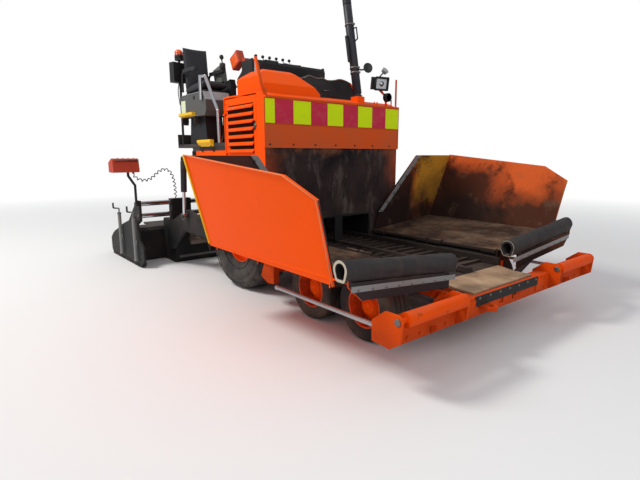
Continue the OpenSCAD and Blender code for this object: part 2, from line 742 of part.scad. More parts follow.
// Lugs and outer pin of a wing cylinder, under the floor
module wing_lugs() {
    lug = wcyl_eye_t / 2 + 4;
    under = hinge_z + (wcyl_out[0] - hinge_y) * tan(floor_slope) - plate_t / 2 + 2;
    for (x = [wcyl_x - lug - lug_t, wcyl_x + lug]) along_x(x, x + lug_t) union() {
        translate(wcyl_out) circle(r = 30);
        polygon([[wcyl_out[0] - 60, under - 4], [wcyl_out[0] - 28, wcyl_out[1]],
            [wcyl_out[0] + 28, wcyl_out[1]], [wcyl_out[0] + 60, under + 4]]);
    }
    translate([wcyl_x - lug - lug_t, wcyl_out[0], wcyl_out[1]]) rotate([0, 90, 0])
        cylinder(h = 2 * (lug + lug_t), r = wcyl_pin_r);
}

roll_r = 54;
roll_t = 14;
roll_neck = 16;

// Rolled rubber flap on the front edge of the wing floor, open at both ends
module wing_roll(side) {
    y0 = -80;
    y1 = (foot_front_y - hinge_y) / cos(floor_slope) + 20;
    color(rubber) on_side(side) translate([bulk_x + floor_x1 - 40, 0, 0]) on_floor()
        along_y(y0, y1) translate([0, plate_t / 2 + seat_gap]) difference() {
            union() {
                translate([0, roll_r + roll_neck]) circle(r = roll_r);
                polygon([[2 - roll_r, roll_r + 4], [-32, 10], [-20, 0], [30, 0], [40, 14], [roll_r - 2, roll_r + 4]]);
            }
            translate([0, roll_r + roll_neck]) circle(r = roll_r - roll_t);
            polygon([[4 - roll_r + roll_t, roll_r + 4], [-18, 18], [-10, roll_t], [20, roll_t], [26, 20],
                [roll_r - roll_t - 4, roll_r + 4]]);
        }
}

function unit(v) = v / norm(v);
wcyl_a = [wcyl_x, wcyl_in[0], wcyl_in[1]];
wcyl_b = [wcyl_x, wcyl_out[0], wcyl_out[1]];
wcyl_len = norm(wcyl_b - wcyl_a);
wcyl_dir = unit(wcyl_b - wcyl_a);
wcyl_barrel_end = wcyl_len * 0.606;

// Barrel of a wing cylinder on its inner pin
module wing_barrel(side) {
    half = [wcyl_eye_t / 2, 0, 0];
    color(black) on_side(side) translate([bulk_x, 0, 0]) difference() {
        union() {
            bar(wcyl_a + wcyl_dir * 18, wcyl_a + wcyl_dir * 45, wcyl_eye_t / 2 - 1);
            bar(wcyl_a + wcyl_dir * 42, wcyl_a + wcyl_dir * wcyl_barrel_end, wcyl_barrel_r);
            bar(wcyl_a - half, wcyl_a + half, 28);
        }
        bar(wcyl_a + wcyl_dir * 60, wcyl_a + wcyl_dir * (wcyl_barrel_end + 1), wcyl_rod_r + fit_gap);
        bar(wcyl_a - half * 1.1, wcyl_a + half * 1.1, wcyl_pin_r + fit_gap);
    }
}

// Rod of a wing cylinder; its eye is larger than the pin, which it follows only nearly
module wing_rod(side) {
    half = [wcyl_eye_t / 2, 0, 0];
    color(chrome) on_side(side) translate([bulk_x, 0, 0]) difference() {
        union() {
            bar(wcyl_a + wcyl_dir * 95, wcyl_b - wcyl_dir * 30, wcyl_rod_r);
            bar(wcyl_b - half, wcyl_b + half, 38);
        }
        bar(wcyl_b - half * 1.1, wcyl_b + half * 1.1, wcyl_pin_r + 14);
    }
}

louvre_count = 7;

// Side door of the engine bay: panel with slanting louvre blades, hinged at its rear edge
module side_door(side) {
    z0 = door_z0 + 30;
    pitch = (door_z1 - door_z0 - 90) / louvre_count;
    y0 = body_half - door_t;
    color(orange) on_side(side) translate([bulk_x, 0, 0]) {
        difference() {
            block([door_x0, y0, door_z0], [door_x1 - 4, body_half, door_z1 - 6]);
            for (z = door_hinge_z) block([door_x0 - 1, y0 - 1, z - 20], [door_x0 + 26, body_half + 1, z + 95]);
            for (i = [0 : louvre_count - 1]) block([door_x0 + 50, y0 - 1, z0 + i * pitch + 12],
                [door_x1 - 54, body_half + 1, z0 + (i + 1) * pitch - 12]);
        }
        for (i = [0 : louvre_count - 1]) along_x(door_x0 + 49, door_x1 - 53) polygon([
            [y0 + 4, z0 + (i + 1) * pitch - 14], [y0 + 12, z0 + (i + 1) * pitch - 8],
            [body_half + 24, z0 + i * pitch + 20], [body_half + 18, z0 + i * pitch + 12]]);
        for (z = door_hinge_z) difference() {
            union() {
                translate([door_x0, door_axis_y, z]) cylinder(h = 90, r = door_hinge_r);
                block([door_x0, y0 + 4, z], [door_x0 + 30, door_axis_y, z + 90]);
            }
            translate([door_x0, door_axis_y, z - 1]) cylinder(h = 92, r = door_pin_r + fit_gap);
        }
    }
}

// Push roller tube that turns on its pin
module push_roller(side) {
    color(orange) on_side(side) translate([bulk_x + roller_x, roller_y1, roller_z]) rotate([90, 0, 0])
        difference() {
            cylinder(h = roller_len, r = roller_r);
            translate([0, 0, -1]) cylinder(h = roller_len + 2, r = roller_pin_r + fit_gap);
        }
}

// Rear tyre: rounded shoulders on a wide tread
module rear_tyre(side) {
    h = rear_w / 2;
    color(rubber) translate([bulk_x - rear_axle, side * rear_y, rear_r]) rotate([90, 0, 0])
        rotate_extrude($fn = 72) polygon([[rim_r, 55 - h], [rim_r + 50, 20 - h], [rim_r + 130, -h],
            [rear_r - 70, 8 - h], [rear_r - 20, 30 - h], [rear_r - 3, 60 - h], [rear_r, 90 - h], [rear_r, h - 90],
            [rear_r - 3, h - 60], [rear_r - 20, h - 30], [rear_r - 70, h - 8], [rim_r + 130, h],
            [rim_r + 50, h - 20], [rim_r, h - 55]]);
}

// Rear rim: barrel with flanges, dished disc with hand holes, and the hub
module rear_rim(side) {
    h = rear_w / 2;
    color(orange) on_side(side) translate([bulk_x - rear_axle, rear_y, rear_r]) rotate([-90, 0, 0])
        difference() {
            rotate_extrude($fn = 72) polygon([[shaft_r + fit_gap, -30], [100, -30], [104, 10], [rim_r - 70, -10],
                [rim_r - 24, 0], [rim_r - 14, 55 - h], [rim_r, 55 - h], [rim_r, h - 55], [rim_r - 14, h - 55],
                [rim_r - 24, 20], [rim_r - 70, 12], [112, 34], [100, 60], [80, 90], [0, 96], [0, 62],
                [shaft_r + fit_gap, 61]]);
            for (a = [0 : 45 : 315]) rotate([0, 0, a]) translate([158, 0, -h]) cylinder(h = rear_w, r = 20);
        }
}

// Steering knuckle: king pin in its yoke and the stub axle of the wheel
module knuckle(side, axle) {
    bore_half = yoke_half - yoke_t - seat_gap;
    color(steel) on_side(side) translate([bulk_x + axle, king_y, front_r]) {
        translate([0, 0, -yoke_half - 4]) cylinder(h = 2 * yoke_half + 8, r = king_r);
        translate([0, 0, -bore_half]) cylinder(h = 2 * bore_half, r = yoke_r - 4);
        rotate([-90, 0, 0]) cylinder(h = hub_out - 14 - king_y, r = stub_r);
    }
}

// Front wheel: solid tyre on a dished steel wheel
module front_wheel(side, axle) {
    rim = 165;
    h = front_w / 2;
    mid = front_y - king_y;
    on_side(side) translate([bulk_x + axle, front_y, front_r]) rotate([-90, 0, 0]) {
        color(rubber) rotate_extrude($fn = 60) polygon([[rim, 6 - h], [front_r - 24, -h], [front_r - 6, 8 - h],
            [front_r, 26 - h], [front_r, h - 26], [front_r - 6, h - 8], [front_r - 24, h], [rim, h - 6]]);
        color(orange) rotate_extrude($fn = 60) polygon([[stub_r + fit_gap, -34], [52, -34], [56, 0],
            [rim - 16, -14], [rim - 12, 6 - h], [rim, 6 - h], [rim, h - 6], [rim - 12, h - 6], [rim - 16, 4],
            [70, 18], [62, hub_out - front_y], [0, hub_out - front_y], [0, hub_out - front_y - 13],
            [stub_r + fit_gap, hub_out - front_y - 13]]);
    }
}

flight_turns = 2.5;
auger_tube_r = 42;

// Spreading auger: tube with a flight of half-turn blades
module auger(side) {
    blades = 16;
    step = (auger_len - 30) / blades;
    color(steel) on_side(side) translate([bulk_x + auger_x, auger_y0, auger_z]) rotate([-90, 0, 0]) {
        difference() {
            union() {
                cylinder(h = auger_len, r = auger_tube_r);
                for (i = [0 : blades - 1]) rotate([0, 0, side * i * 360 * flight_turns / blades])
                    translate([0, 0, 15 + i * step]) intersection() {
                        cylinder(h = step + 1, r = auger_r - (i % 2) / 2);
                        rotate([0, 0, -34]) linear_extrude(step + 1) polygon([[0, 0], [2 * auger_r, 0],
                            [2 * auger_r, 2 * auger_r], [0.76 * auger_r, 2 * auger_r]]);
                    }
            }
            translate([0, 0, -1]) cylinder(h = 80, r = 24 + fit_gap);
        }
    }
}

// Tow arms with pivot eyes and the foot pins of the lift cylinders
module tow_arms() {
    color(black) translate([bulk_x, 0, 0]) both_sides() {
        difference() {
            along_y(tow_y0, tow_y1) union() {
                translate([tow_x, tow_z]) circle(r = 55);
                polygon([[tow_x, tow_z - 50], [tow_x, tow_z + 50], [-800, tow_z + 110],
                    [lift_foot[0] + 60, lift_foot[1] + 70], [lift_foot[0] - 60, lift_foot[1] + 70],
                    [screed_x0 + 80, screed_top], [screed_x0 - 70, screed_top - 60], [screed_x0 - 70, 200],
                    [screed_x0 + 60, 200], [-1700, 480], [-800, tow_z]]);
            }
            pin_y([tow_x, tow_z], tow_y0 - 1, tow_y1 + 1, tow_pin_r + fit_gap);
        }
        block([screed_x0 - 70, screed_half, 220], [screed_x0, tow_y0, 480]);
        pin_y(lift_foot, tow_y1, lift_y + lift_eye_t / 2 + 8, lift_pin_r);
    }
}

// Main screed: sole and body with chamfered front, guide shoes and crown spindles
module screed_body() {
    color(black) translate([bulk_x, 0, 0]) {
        difference() {
            along_y(-screed_half, screed_half) polygon([[screed_x1, 0], [screed_x0 - 20, 0], [screed_x0, 25],
                [screed_x0, screed_top - 60], [screed_x0 - 50, screed_top], [screed_x1 + 30, screed_top],
                [screed_x1, screed_top - 30]]);
            for (y = [-screed_half + 20, 15]) block([screed_x1 + 20, y, 40],
                [screed_x0 - 20, y + screed_half - 35, screed_top - 80]);
        }
        both_sides() difference() {
            block([guide_x - 50, shoe_y0, screed_top - 1], [guide_x + 50, shoe_y1, guide_z[1] + 45]);
            for (z = guide_z) pin_y([guide_x, z], shoe_y0 - 1, shoe_y1 + 1, guide_r + fit_gap);
        }
        for (x = [screed_x0 - 60, screed_x1 + 60]) bar([x, 0, screed_top - 1], [x, 0, screed_top + 110], 22);
        block([screed_x1 + 40, -60, screed_top + 60], [screed_x0 - 40, 60, screed_top + 90]);
    }
}

// Footboard behind the main screed on four brackets that pass over the extensions
module screed_walkway() {
    x1 = -rear_reach;
    color(black) translate([bulk_x, 0, 0]) {
        block([x1, -850, walk_z], [ext_x1 - 25, 850, walk_z + walk_t]);
        for (y = [-640, -110, 90, 620]) along_y(y, y + 20) polygon([
            [screed_x1, ext_top + 40], [screed_x1, screed_top - 40], [ext_x1 - 60, ext_top + 80],
            [ext_x1 - 120, walk_z + walk_t - 1], [ext_x1 - 26, walk_z + walk_t - 1], [ext_x1 - 26, ext_top + 30]]);
    }
}

lift_dir = unit([lift_foot[0] - lift_top[0], 0, lift_foot[1] - lift_top[1]]);
lift_barrel_end = 370;
lift_rod_len = 340;

// Barrels of the two screed lift cylinders, each on its upper pin
module screed_lift_barrels() {
    top = [lift_top[0], lift_y, lift_top[1]];
    half = lift_eye_t / 2;
    color(black) translate([bulk_x, 0, 0]) both_sides() difference() {
        union() {
            bar(top + lift_dir * 20, top + lift_dir * lift_barrel_end, lift_barrel_r);
            pin_y(lift_top, lift_y - half, lift_y + half, 34);
        }
        bar(top + lift_dir * 70, top + lift_dir * (lift_barrel_end + 1), lift_rod_r + fit_gap);
        pin_y(lift_top, lift_y - half - 40, lift_y + half + 40, lift_pin_r + fit_gap);
    }
}

// Rods of the two screed lift cylinders; their eyes are larger than the pins on the arms
module screed_lift_rods() {
    foot = [lift_foot[0], lift_y, lift_foot[1]];
    half = lift_eye_t / 2;
    color(chrome) translate([bulk_x, 0, 0]) both_sides() difference() {
        union() {
            bar(foot - lift_dir * lift_rod_len, foot - lift_dir * 25, lift_rod_r);
            pin_y(lift_foot, lift_y - half, lift_y + half, 40);
        }
        pin_y(lift_foot, lift_y - half - 1, lift_y + half + 1, lift_pin_r + 10);
    }
}

// Screed extension: body with sole, end plate, guide tubes, footboard, end gate and its jack
module extension(side) {
    y1 = gate_y - 20;
    y0 = y1 - 800;
    x_gate = [-2060, -3450];
    on_side(side) translate([bulk_x, 0, 0]) {
        color(black) {
            along_y(y0, y1 - 24) polygon([[ext_x1, 0], [ext_x0 - 16, 0], [ext_x0, 20],
                [ext_x0, ext_top - 40], [ext_x0 - 30, ext_top], [ext_x1, ext_top]]);
            along_y(y1 - 25, y1) polygon([[ext_x1, 0], [ext_x0 - 16, 0], [ext_x0, 20], [ext_x0, ext_top],
                [guide_x + 50, guide_z[0] - 60], [guide_x + 50, guide_z[1] + 40], [guide_x - 60, guide_z[1] + 40],
                [ext_x1, ext_top]]);
            block([-3430, 880, 290], [ext_x1 + 1, y1, 290 + walk_t]);
            block([ext_x1 + 60, y1 - 1, 40], [ext_x1 + 120, gate_y + 1, ext_top - 60]);
            block([ext_x0 - 80, y1 - 1, 40], [ext_x0 - 20, gate_y + 1, ext_top - 60]);
            end_gate(x_gate);
        }
        color(chrome) for (z = guide_z) pin_y([guide_x, z], guide_in, y1 - 24, guide_r);
        color(grey) gate_jack();
    }
}

// Gate plate with its ski: rounded up in front and bevelled behind
module end_gate(x) {
    along_y(gate_y, gate_y + gate_t) polygon([[x[1], 60], [x[1] + 60, 0], [x[0] - 160, 0], [x[0] - 80, 16],
        [x[0] - 30, 60], [x[0], 130], [x[0] - 10, 240], [x[0] - 130, 330], [x[0] - 190, 550],
        [ext_x0 - 40, 550], [ext_x1, 480], [x[1] + 120, 300], [x[1], 220]]);
    along_y(gate_y - 15, gate_y + gate_t + 15) polygon([[x[1] + 100, 0], [x[0] - 160, 0], [x[0] - 80, 16],
        [x[0] - 30, 60], [x[0] - 42, 70], [x[0] - 90, 32], [x[0] - 165, 18], [x[1] + 100, 18]]);
}

// Upright screw jack of the gate with its crank
module gate_jack() {
    y = gate_y + gate_t + 20;
    for (x = [screed_x0 - 150, ext_x1 - 60]) {
        translate([x, y, 60]) cylinder(h = 560, r = 22);
        bent_bar([[x, y, 610], [x, y, 680], [x, y + 70, 690]], 9);
        translate([x, y - 22, 300]) rotate([-90, 0, 0]) cylinder(h = 20, r = 34);
    }
}

post_x = guide_x;

// Control box on its cranked post, on the end plate of the extension
module control_box(side) {
    y0 = gate_y - 20;
    on_side(side) translate([bulk_x, 0, 0]) {
        color(black) {
            block([post_x - 40, y0, guide_z[1] - 20], [post_x + 40, y0 + 34, guide_z[1] + 20]);
            bent_bar([[post_x, y0 + 18, guide_z[1] + 19], [post_x, y0 + 18, 1010],
                [post_x + 30, y0 + 100, 1130], [post_x + 30, y0 + 100, 1175]], 15);
        }
        color([0.7, 0.25, 0.15]) along_y(y0 - 10, y0 + 290) polygon([[post_x - 70, 1174], [post_x + 120, 1174],
            [post_x + 130, 1200], [post_x + 110, 1330], [post_x + 60, 1340], [post_x - 70, 1290]]);
    }
}

// Route of the coiled lead from the right control box to the screed, in the bulkhead's frame
cord_d = 40;
cord_route = [
    [-2230, -1340, 1173.7], [-2230, -1340, 1140], [-2230, -1312, 1105], [-2230, -1265, 1082],
    [-2230, -1215, 1072], [-2230, -1165, 1078], [-2230, -1120, 1100], [-2230, -1080, 1132],
    [-2230, -1040, 1165], [-2230, -995, 1192], [-2235, -945, 1200], [-2240, -898, 1182],
    [-2250, -862, 1140], [-2260, -838, 1085], [-2270, -822, 1020], [-2280, -812, 955],
    [-2290, -806, 890], [-2300, -805, 830]];

// Rings of a tube along a route, as the points and faces of one polyhedron
module swept_tube(route, d, sides) {
    n = len(route);
    dirs = [for (i = [0 : n - 1]) unit(route[min(i + 1, n - 1)] - route[max(i - 1, 0)])];
    side_of = function(t) unit(cross(t, [1, 0.1, 0]));
    rings = [for (i = [0 : n - 1]) let (u = side_of(dirs[i]), v = cross(dirs[i], u))
        for (k = [0 : sides - 1]) route[i] + d / 2 * (u * cos(k * 360 / sides) + v * sin(k * 360 / sides))];
    walls = [for (i = [0 : n - 2], k = [0 : sides - 1]) let (m = (k + 1) % sides)
        [i * sides + k, (i + 1) * sides + k, (i + 1) * sides + m, i * sides + m]];
    first = [for (k = [0 : sides - 1]) k];
    last = [for (k = [sides - 1 : -1 : 0]) (n - 1) * sides + k];
    polyhedron(points = rings, faces = concat(walls, [first, last]), convexity = 6);
}

module control_cord() {
    color(black) translate([bulk_x, 0, 0]) swept_tube(cord_route, cord_d, 8);
}

main_frame();
rear_axle_housing();
front_bogie();
bumper_beam();
guide_rods();
conveyor();
apron_lip();
bulkhead();
engine_hood();
engine_block();
deck();
side_boxes();
console();
seats();
handrails();
steps();
exhaust_stack();
work_lamps();
beacon_mast();
wing(RIGHT);  // wing_right
wing(LEFT);  // wing_left
wing_roll(RIGHT);  // wing_roll_right
wing_roll(LEFT);  // wing_roll_left
wing_barrel(RIGHT);  // wing_barrel_right
wing_barrel(LEFT);  // wing_barrel_left
wing_rod(RIGHT);  // wing_rod_right
wing_rod(LEFT);  // wing_rod_left
side_door(RIGHT);  // side_door_right
side_door(LEFT);  // side_door_left
push_roller(RIGHT);  // push_roller_right
push_roller(LEFT);  // push_roller_left
rear_tyre(RIGHT);  // rear_tyre_right
rear_tyre(LEFT);  // rear_tyre_left
rear_rim(RIGHT);  // rear_rim_right
rear_rim(LEFT);  // rear_rim_left
knuckle(RIGHT, axle_1);  // knuckle_1_right
knuckle(RIGHT, axle_2);  // knuckle_2_right
knuckle(LEFT, axle_1);  // knuckle_1_left
knuckle(LEFT, axle_2);  // knuckle_2_left
front_wheel(RIGHT, axle_1);  // front_wheel_1_right
front_wheel(RIGHT, axle_2);  // front_wheel_2_right
front_wheel(LEFT, axle_1);  // front_wheel_1_left
front_wheel(LEFT, axle_2);  // front_wheel_2_left
auger(RIGHT);  // auger_right
auger(LEFT);  // auger_left
tow_arms();
screed_body();
screed_walkway();
screed_lift_barrels();
screed_lift_rods();
extension(RIGHT);  // extension_right
extension(LEFT);  // extension_left
control_box(RIGHT);  // control_box_right
control_box(LEFT);  // control_box_left
control_cord();
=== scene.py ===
import json
import math
import random

import bmesh
import bpy
from mathutils import Matrix, Vector

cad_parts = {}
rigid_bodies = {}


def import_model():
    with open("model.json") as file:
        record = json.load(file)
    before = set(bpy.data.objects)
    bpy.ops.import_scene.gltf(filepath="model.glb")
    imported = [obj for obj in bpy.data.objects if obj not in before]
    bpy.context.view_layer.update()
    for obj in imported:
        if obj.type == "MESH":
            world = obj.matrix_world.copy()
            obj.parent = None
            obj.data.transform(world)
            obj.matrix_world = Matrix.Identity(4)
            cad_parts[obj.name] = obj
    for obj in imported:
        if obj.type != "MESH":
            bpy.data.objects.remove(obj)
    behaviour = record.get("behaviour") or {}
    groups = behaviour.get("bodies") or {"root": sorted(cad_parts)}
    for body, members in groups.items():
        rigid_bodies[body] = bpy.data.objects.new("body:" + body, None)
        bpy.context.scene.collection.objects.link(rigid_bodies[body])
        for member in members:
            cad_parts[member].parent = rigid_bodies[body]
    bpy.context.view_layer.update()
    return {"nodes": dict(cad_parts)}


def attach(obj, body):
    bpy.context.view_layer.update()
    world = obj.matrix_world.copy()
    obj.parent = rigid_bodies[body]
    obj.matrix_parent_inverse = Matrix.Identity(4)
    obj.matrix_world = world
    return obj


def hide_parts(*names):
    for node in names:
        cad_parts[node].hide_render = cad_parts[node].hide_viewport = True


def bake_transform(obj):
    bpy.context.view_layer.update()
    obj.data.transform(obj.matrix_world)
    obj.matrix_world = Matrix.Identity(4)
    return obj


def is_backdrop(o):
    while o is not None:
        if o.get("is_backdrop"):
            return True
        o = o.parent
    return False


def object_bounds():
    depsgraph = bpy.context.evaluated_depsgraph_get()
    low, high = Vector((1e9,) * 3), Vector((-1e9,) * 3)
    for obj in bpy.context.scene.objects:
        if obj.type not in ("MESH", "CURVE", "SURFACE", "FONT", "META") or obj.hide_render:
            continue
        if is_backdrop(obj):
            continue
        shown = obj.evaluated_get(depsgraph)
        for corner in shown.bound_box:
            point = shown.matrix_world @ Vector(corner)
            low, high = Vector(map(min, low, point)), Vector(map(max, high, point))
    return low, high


for start in list(bpy.data.objects):
    bpy.data.objects.remove(start)
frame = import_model()
nodes = frame["nodes"]
random.seed(7)

# Sizes below are millimetres from the bulkhead's front face, as in the part's source
BULK_X = 0.7475
RIGHT, LEFT = -1, 1
SIDES = ((RIGHT, "right"), (LEFT, "left"))
UP = (0, 0, 1)
BODY = 870  # half width of the engine house
FLOOR_SLOPE = math.tan(math.radians(5.5))  # the wings' floors rise outwards
REAR_WHEEL = (-625, 692.5, 546)
FRONT_WHEELS = ((1, 1240), (2, 600))  # number and place of each axle
FRONT_Y, FRONT_Z = 725, 265
GUIDE_X, GUIDE_Z = -2300, (630, 780)  # the screed's two guide rods
JACK_X, JACK_Y = (-2310, -2900), 1355  # the end gates' jacks


def row(p):
    """A place in the script's millimetres, in the frame's metres."""
    return Vector((BULK_X + p[0] / 1000, p[1] / 1000, p[2] / 1000))


def metres(axis, mm):
    """A place along one axis in millimetres, in the metres of the object coordinates."""
    return mm / 1000 + (BULK_X if axis == "X" else 0.0)


def both(*names):
    return [f"{name}_{word}" for name in names for _, word in SIDES]


def spin(degrees, axis="Y"):
    return Matrix.Rotation(math.radians(degrees), 3, axis)


def lin(r, g, b):
    """A colour as seen, 0 to 255, as the linear numbers that a shader takes."""
    shares = [c / 255 for c in (r, g, b)]
    return tuple(c / 12.92 if c <= 0.04045 else ((c + 0.055) / 1.055) ** 2.4 for c in shares) + (1.0,)


# Camera
cam_data = bpy.data.cameras.new("camera")
cam_data.lens, cam_data.sensor_width, cam_data.sensor_fit = 25.875, 36, "HORIZONTAL"
camera = bpy.data.objects.new("camera", cam_data)
bpy.context.scene.collection.objects.link(camera)
yaw, pitch, roll = math.radians(140.965), math.radians(-10.32), math.radians(0.151)
ahead = Vector((math.cos(pitch) * math.cos(yaw), math.cos(pitch) * math.sin(yaw), math.sin(pitch)))
camera.rotation_mode = "QUATERNION"
camera.location = (4.3085, -3.128, 1.359)
camera.rotation_quaternion = ahead.to_track_quat("-Z", "Y") @ Matrix.Rotation(-roll, 3, "Z").to_quaternion()
cam_data.clip_start, cam_data.clip_end = 0.05, 200
bpy.context.scene.camera = camera
bpy.context.scene.view_settings.view_transform = "Standard"


# Materials
SHARP = 0.0004  # width of a sharp mask edge, in metres


class Shader:
    """One node material: a Principled shader with layers mixed over its base."""

    def __init__(self, name, base, rough=0.5, metal=0.0):
        self.mat = bpy.data.materials.new(name)
        self.mat.use_nodes = True
        self.t = self.mat.node_tree
        self.bsdf = self.t.nodes["Principled BSDF"]
        for socket, value in (("Base Color", base), ("Roughness", rough), ("Metallic", metal)):
            self.bsdf.inputs[socket].default_value = value
        self.coords = self.new("ShaderNodeTexCoord")
        self.place = self.new("ShaderNodeSeparateXYZ")
        self.t.links.new(self.coords.outputs["Object"], self.place.inputs[0])
        self.facing = self.new("ShaderNodeSeparateXYZ")
        self.t.links.new(self.coords.outputs["Normal"], self.facing.inputs[0])

    def new(self, kind, **inputs):
        """A node, with values or links on its named inputs."""
        n = self.t.nodes.new(kind)
        for name, value in inputs.items():
            self.put(n.inputs[name], value)
        return n

    def put(self, socket, value):
        if isinstance(value, bpy.types.NodeSocket):
            self.t.links.new(value, socket)
        else:
            socket.default_value = value

    def math(self, op, a, b=0.0, clamp=False):
        n = self.new("ShaderNodeMath")
        n.operation, n.use_clamp = op, clamp
        self.put(n.inputs[0], a)
        self.put(n.inputs[1], b)
        return n.outputs[0]

    def noise(self, scale, detail=4.0, rough=0.6, stretch=None):
        place = self.coords.outputs["Object"]
        if stretch:
            place = self.new("ShaderNodeMapping", Vector=place, Scale=stretch).outputs[0]
        n = self.new("ShaderNodeTexNoise", Vector=place, Scale=scale, Detail=detail, Roughness=rough)
        return n.outputs["Fac"]

    def patches(self, lo, hi, *noise):
        """Noise, 0 to 1 between two of its values."""
        return self.ramp(self.noise(*noise), lo, hi)

    def ramp(self, value, lo, hi):
        n = self.new("ShaderNodeMapRange")
        n.clamp = True
        for i, v in ((0, value), (1, lo), (2, hi), (3, 0.0), (4, 1.0)):
            self.put(n.inputs[i], v)
        return n.outputs[0]

    def axis(self, name, lo, hi, rough=0.0, scale=3.0):
        """0 to 1 from lo to hi along an axis, its edge broken by noise."""
        v = self.place.outputs[name]
        if rough:
            wave = self.math("SUBTRACT", self.noise(scale, 6), 0.5)
            v = self.math("ADD", v, self.math("MULTIPLY", wave, rough / 1000))
        return self.ramp(v, metres(name, lo), metres(name, hi))

    def turned(self, name, lo, hi):
        """0 to 1 as the surface turns to face along an axis."""
        return self.ramp(self.facing.outputs[name], lo, hi)

    def times(self, *masks):
        out = masks[0]
        for m in masks[1:]:
            out = self.math("MULTIPLY", out, m, True)
        return out

    def near(self, across, a, b, r):
        """1 within r of the line through a, b in the two named axes."""
        off = [self.math("SUBTRACT", self.place.outputs[n], metres(n, v)) for n, v in zip(across, (a, b))]
        away = self.math("SQRT", self.math("ADD", *[self.math("POWER", d, 2) for d in off]))
        return self.invert(self.ramp(away, r / 1000, r / 1000 + SHARP))

    def within(self, name, lo, hi):
        """1 between two places along an axis."""
        v = self.place.outputs[name]
        lo, hi = metres(name, lo), metres(name, hi)
        return self.times(self.ramp(v, lo, lo + SHARP), self.invert(self.ramp(v, hi, hi + SHARP)))

    def region(self, **spans):
        """1 in a box given by its spans along some axes."""
        return self.times(*[self.within(axis, *span) for axis, span in spans.items()])

    def invert(self, mask):
        return self.math("SUBTRACT", 1.0, mask, True)

    def over(self, color, mask, rough=None, metal=None):
        """Lays a colour over what is there, where the mask is 1."""
        for name, value in (("Base Color", color), ("Roughness", rough), ("Metallic", metal)):
            if value is None:
                continue
            socket = self.bsdf.inputs[name]
            old = socket.links[0].from_socket if socket.is_linked else socket.default_value
            n = self.new("ShaderNodeMix")
            n.data_type, first, result = ("RGBA", 6, 2) if name == "Base Color" else ("FLOAT", 2, 0)
            for i, v in ((0, mask), (first, old), (first + 1, value)):
                self.put(n.inputs[i], v)
            self.put(socket, n.outputs[result])

    def bump(self, height, strength=0.3, distance=0.002):
        n = self.new("ShaderNodeBump", Strength=strength, Distance=distance, Height=height)
        old = self.bsdf.inputs["Normal"]
        if old.is_linked:
            self.put(n.inputs["Normal"], old.links[0].from_socket)
        self.put(old, n.outputs[0])


TAN = lin(150, 126, 104)
BURNT = lin(38, 30, 27)
ASPHALT = lin(30, 27, 26)
ORANGE = lin(255, 86, 0)
FADED = lin(236, 88, 16)


def dusty(name, base, rough=0.45, metal=0.0, dust=0.25, grime=0.2, dust_color=TAN):
    """A painted or plain surface with dust on what faces up and grime in patches."""
    s = Shader(name, base, rough, metal)
    s.over(dust_color, s.times(s.turned("Z", 0.3, 0.95), s.patches(0.35, 0.7, 5, 8), dust * 2), 0.9, 0.0)
    s.bsdf.inputs["Specular IOR Level"].default_value = 0.3
    s.over(dust_color, s.times(s.patches(0.45, 0.75, 2.2, 8), dust), 0.8)
    s.over(ASPHALT, s.times(s.patches(0.56, 0.72, 9, 10, 0.7), grime), 0.7)
    s.bump(s.noise(60, 6), 0.15, 0.001)
    return s


def orange_paint(name, shade=0.0, grime=0.35):
    """Orange paint, faded in patches or evenly by a shade, with dust, stains and rust spots."""
    s = Shader(name, ORANGE, 0.38)
    s.bsdf.inputs["Specular IOR Level"].default_value = 0.05
    s.over(FADED, shade or s.times(s.patches(0.42, 0.8, 1.6, 6), 0.5), 0.55)
    s.over(TAN, s.times(s.turned("Z", 0.4, 0.95), s.patches(0.4, 0.75, 7, 8), 0.3), 0.85)
    s.over(BURNT, s.times(s.patches(0.6, 0.7, 14, 12, 0.75), grime), 0.6)
    s.over(lin(120, 60, 34), s.times(s.patches(0.64, 0.7, 45, 12, 0.8), 0.6), 0.7)
    s.bump(s.noise(18, 5), 0.12, 0.002)
    return s


# A pale line for the wings' upper edges: wear and a painted highlight
edge = orange_paint("wear_and_highlight_edge", 0.9, 0.1)
edge.over(lin(226, 150, 104), 0.6, 0.5)
frame_paint = orange_paint("frame_paint", 0.0, 0.6)
low_frame = frame_paint.invert(frame_paint.axis("Z", 300, 620, 250))
frame_paint.over(BURNT, frame_paint.times(low_frame, 0.55), 0.8)
hood_paint = orange_paint("hood_paint", 0.0, 0.15)
hood_paint.over(FADED, hood_paint.times(hood_paint.turned("X", 0.5, 0.9), 0.6), 0.6)


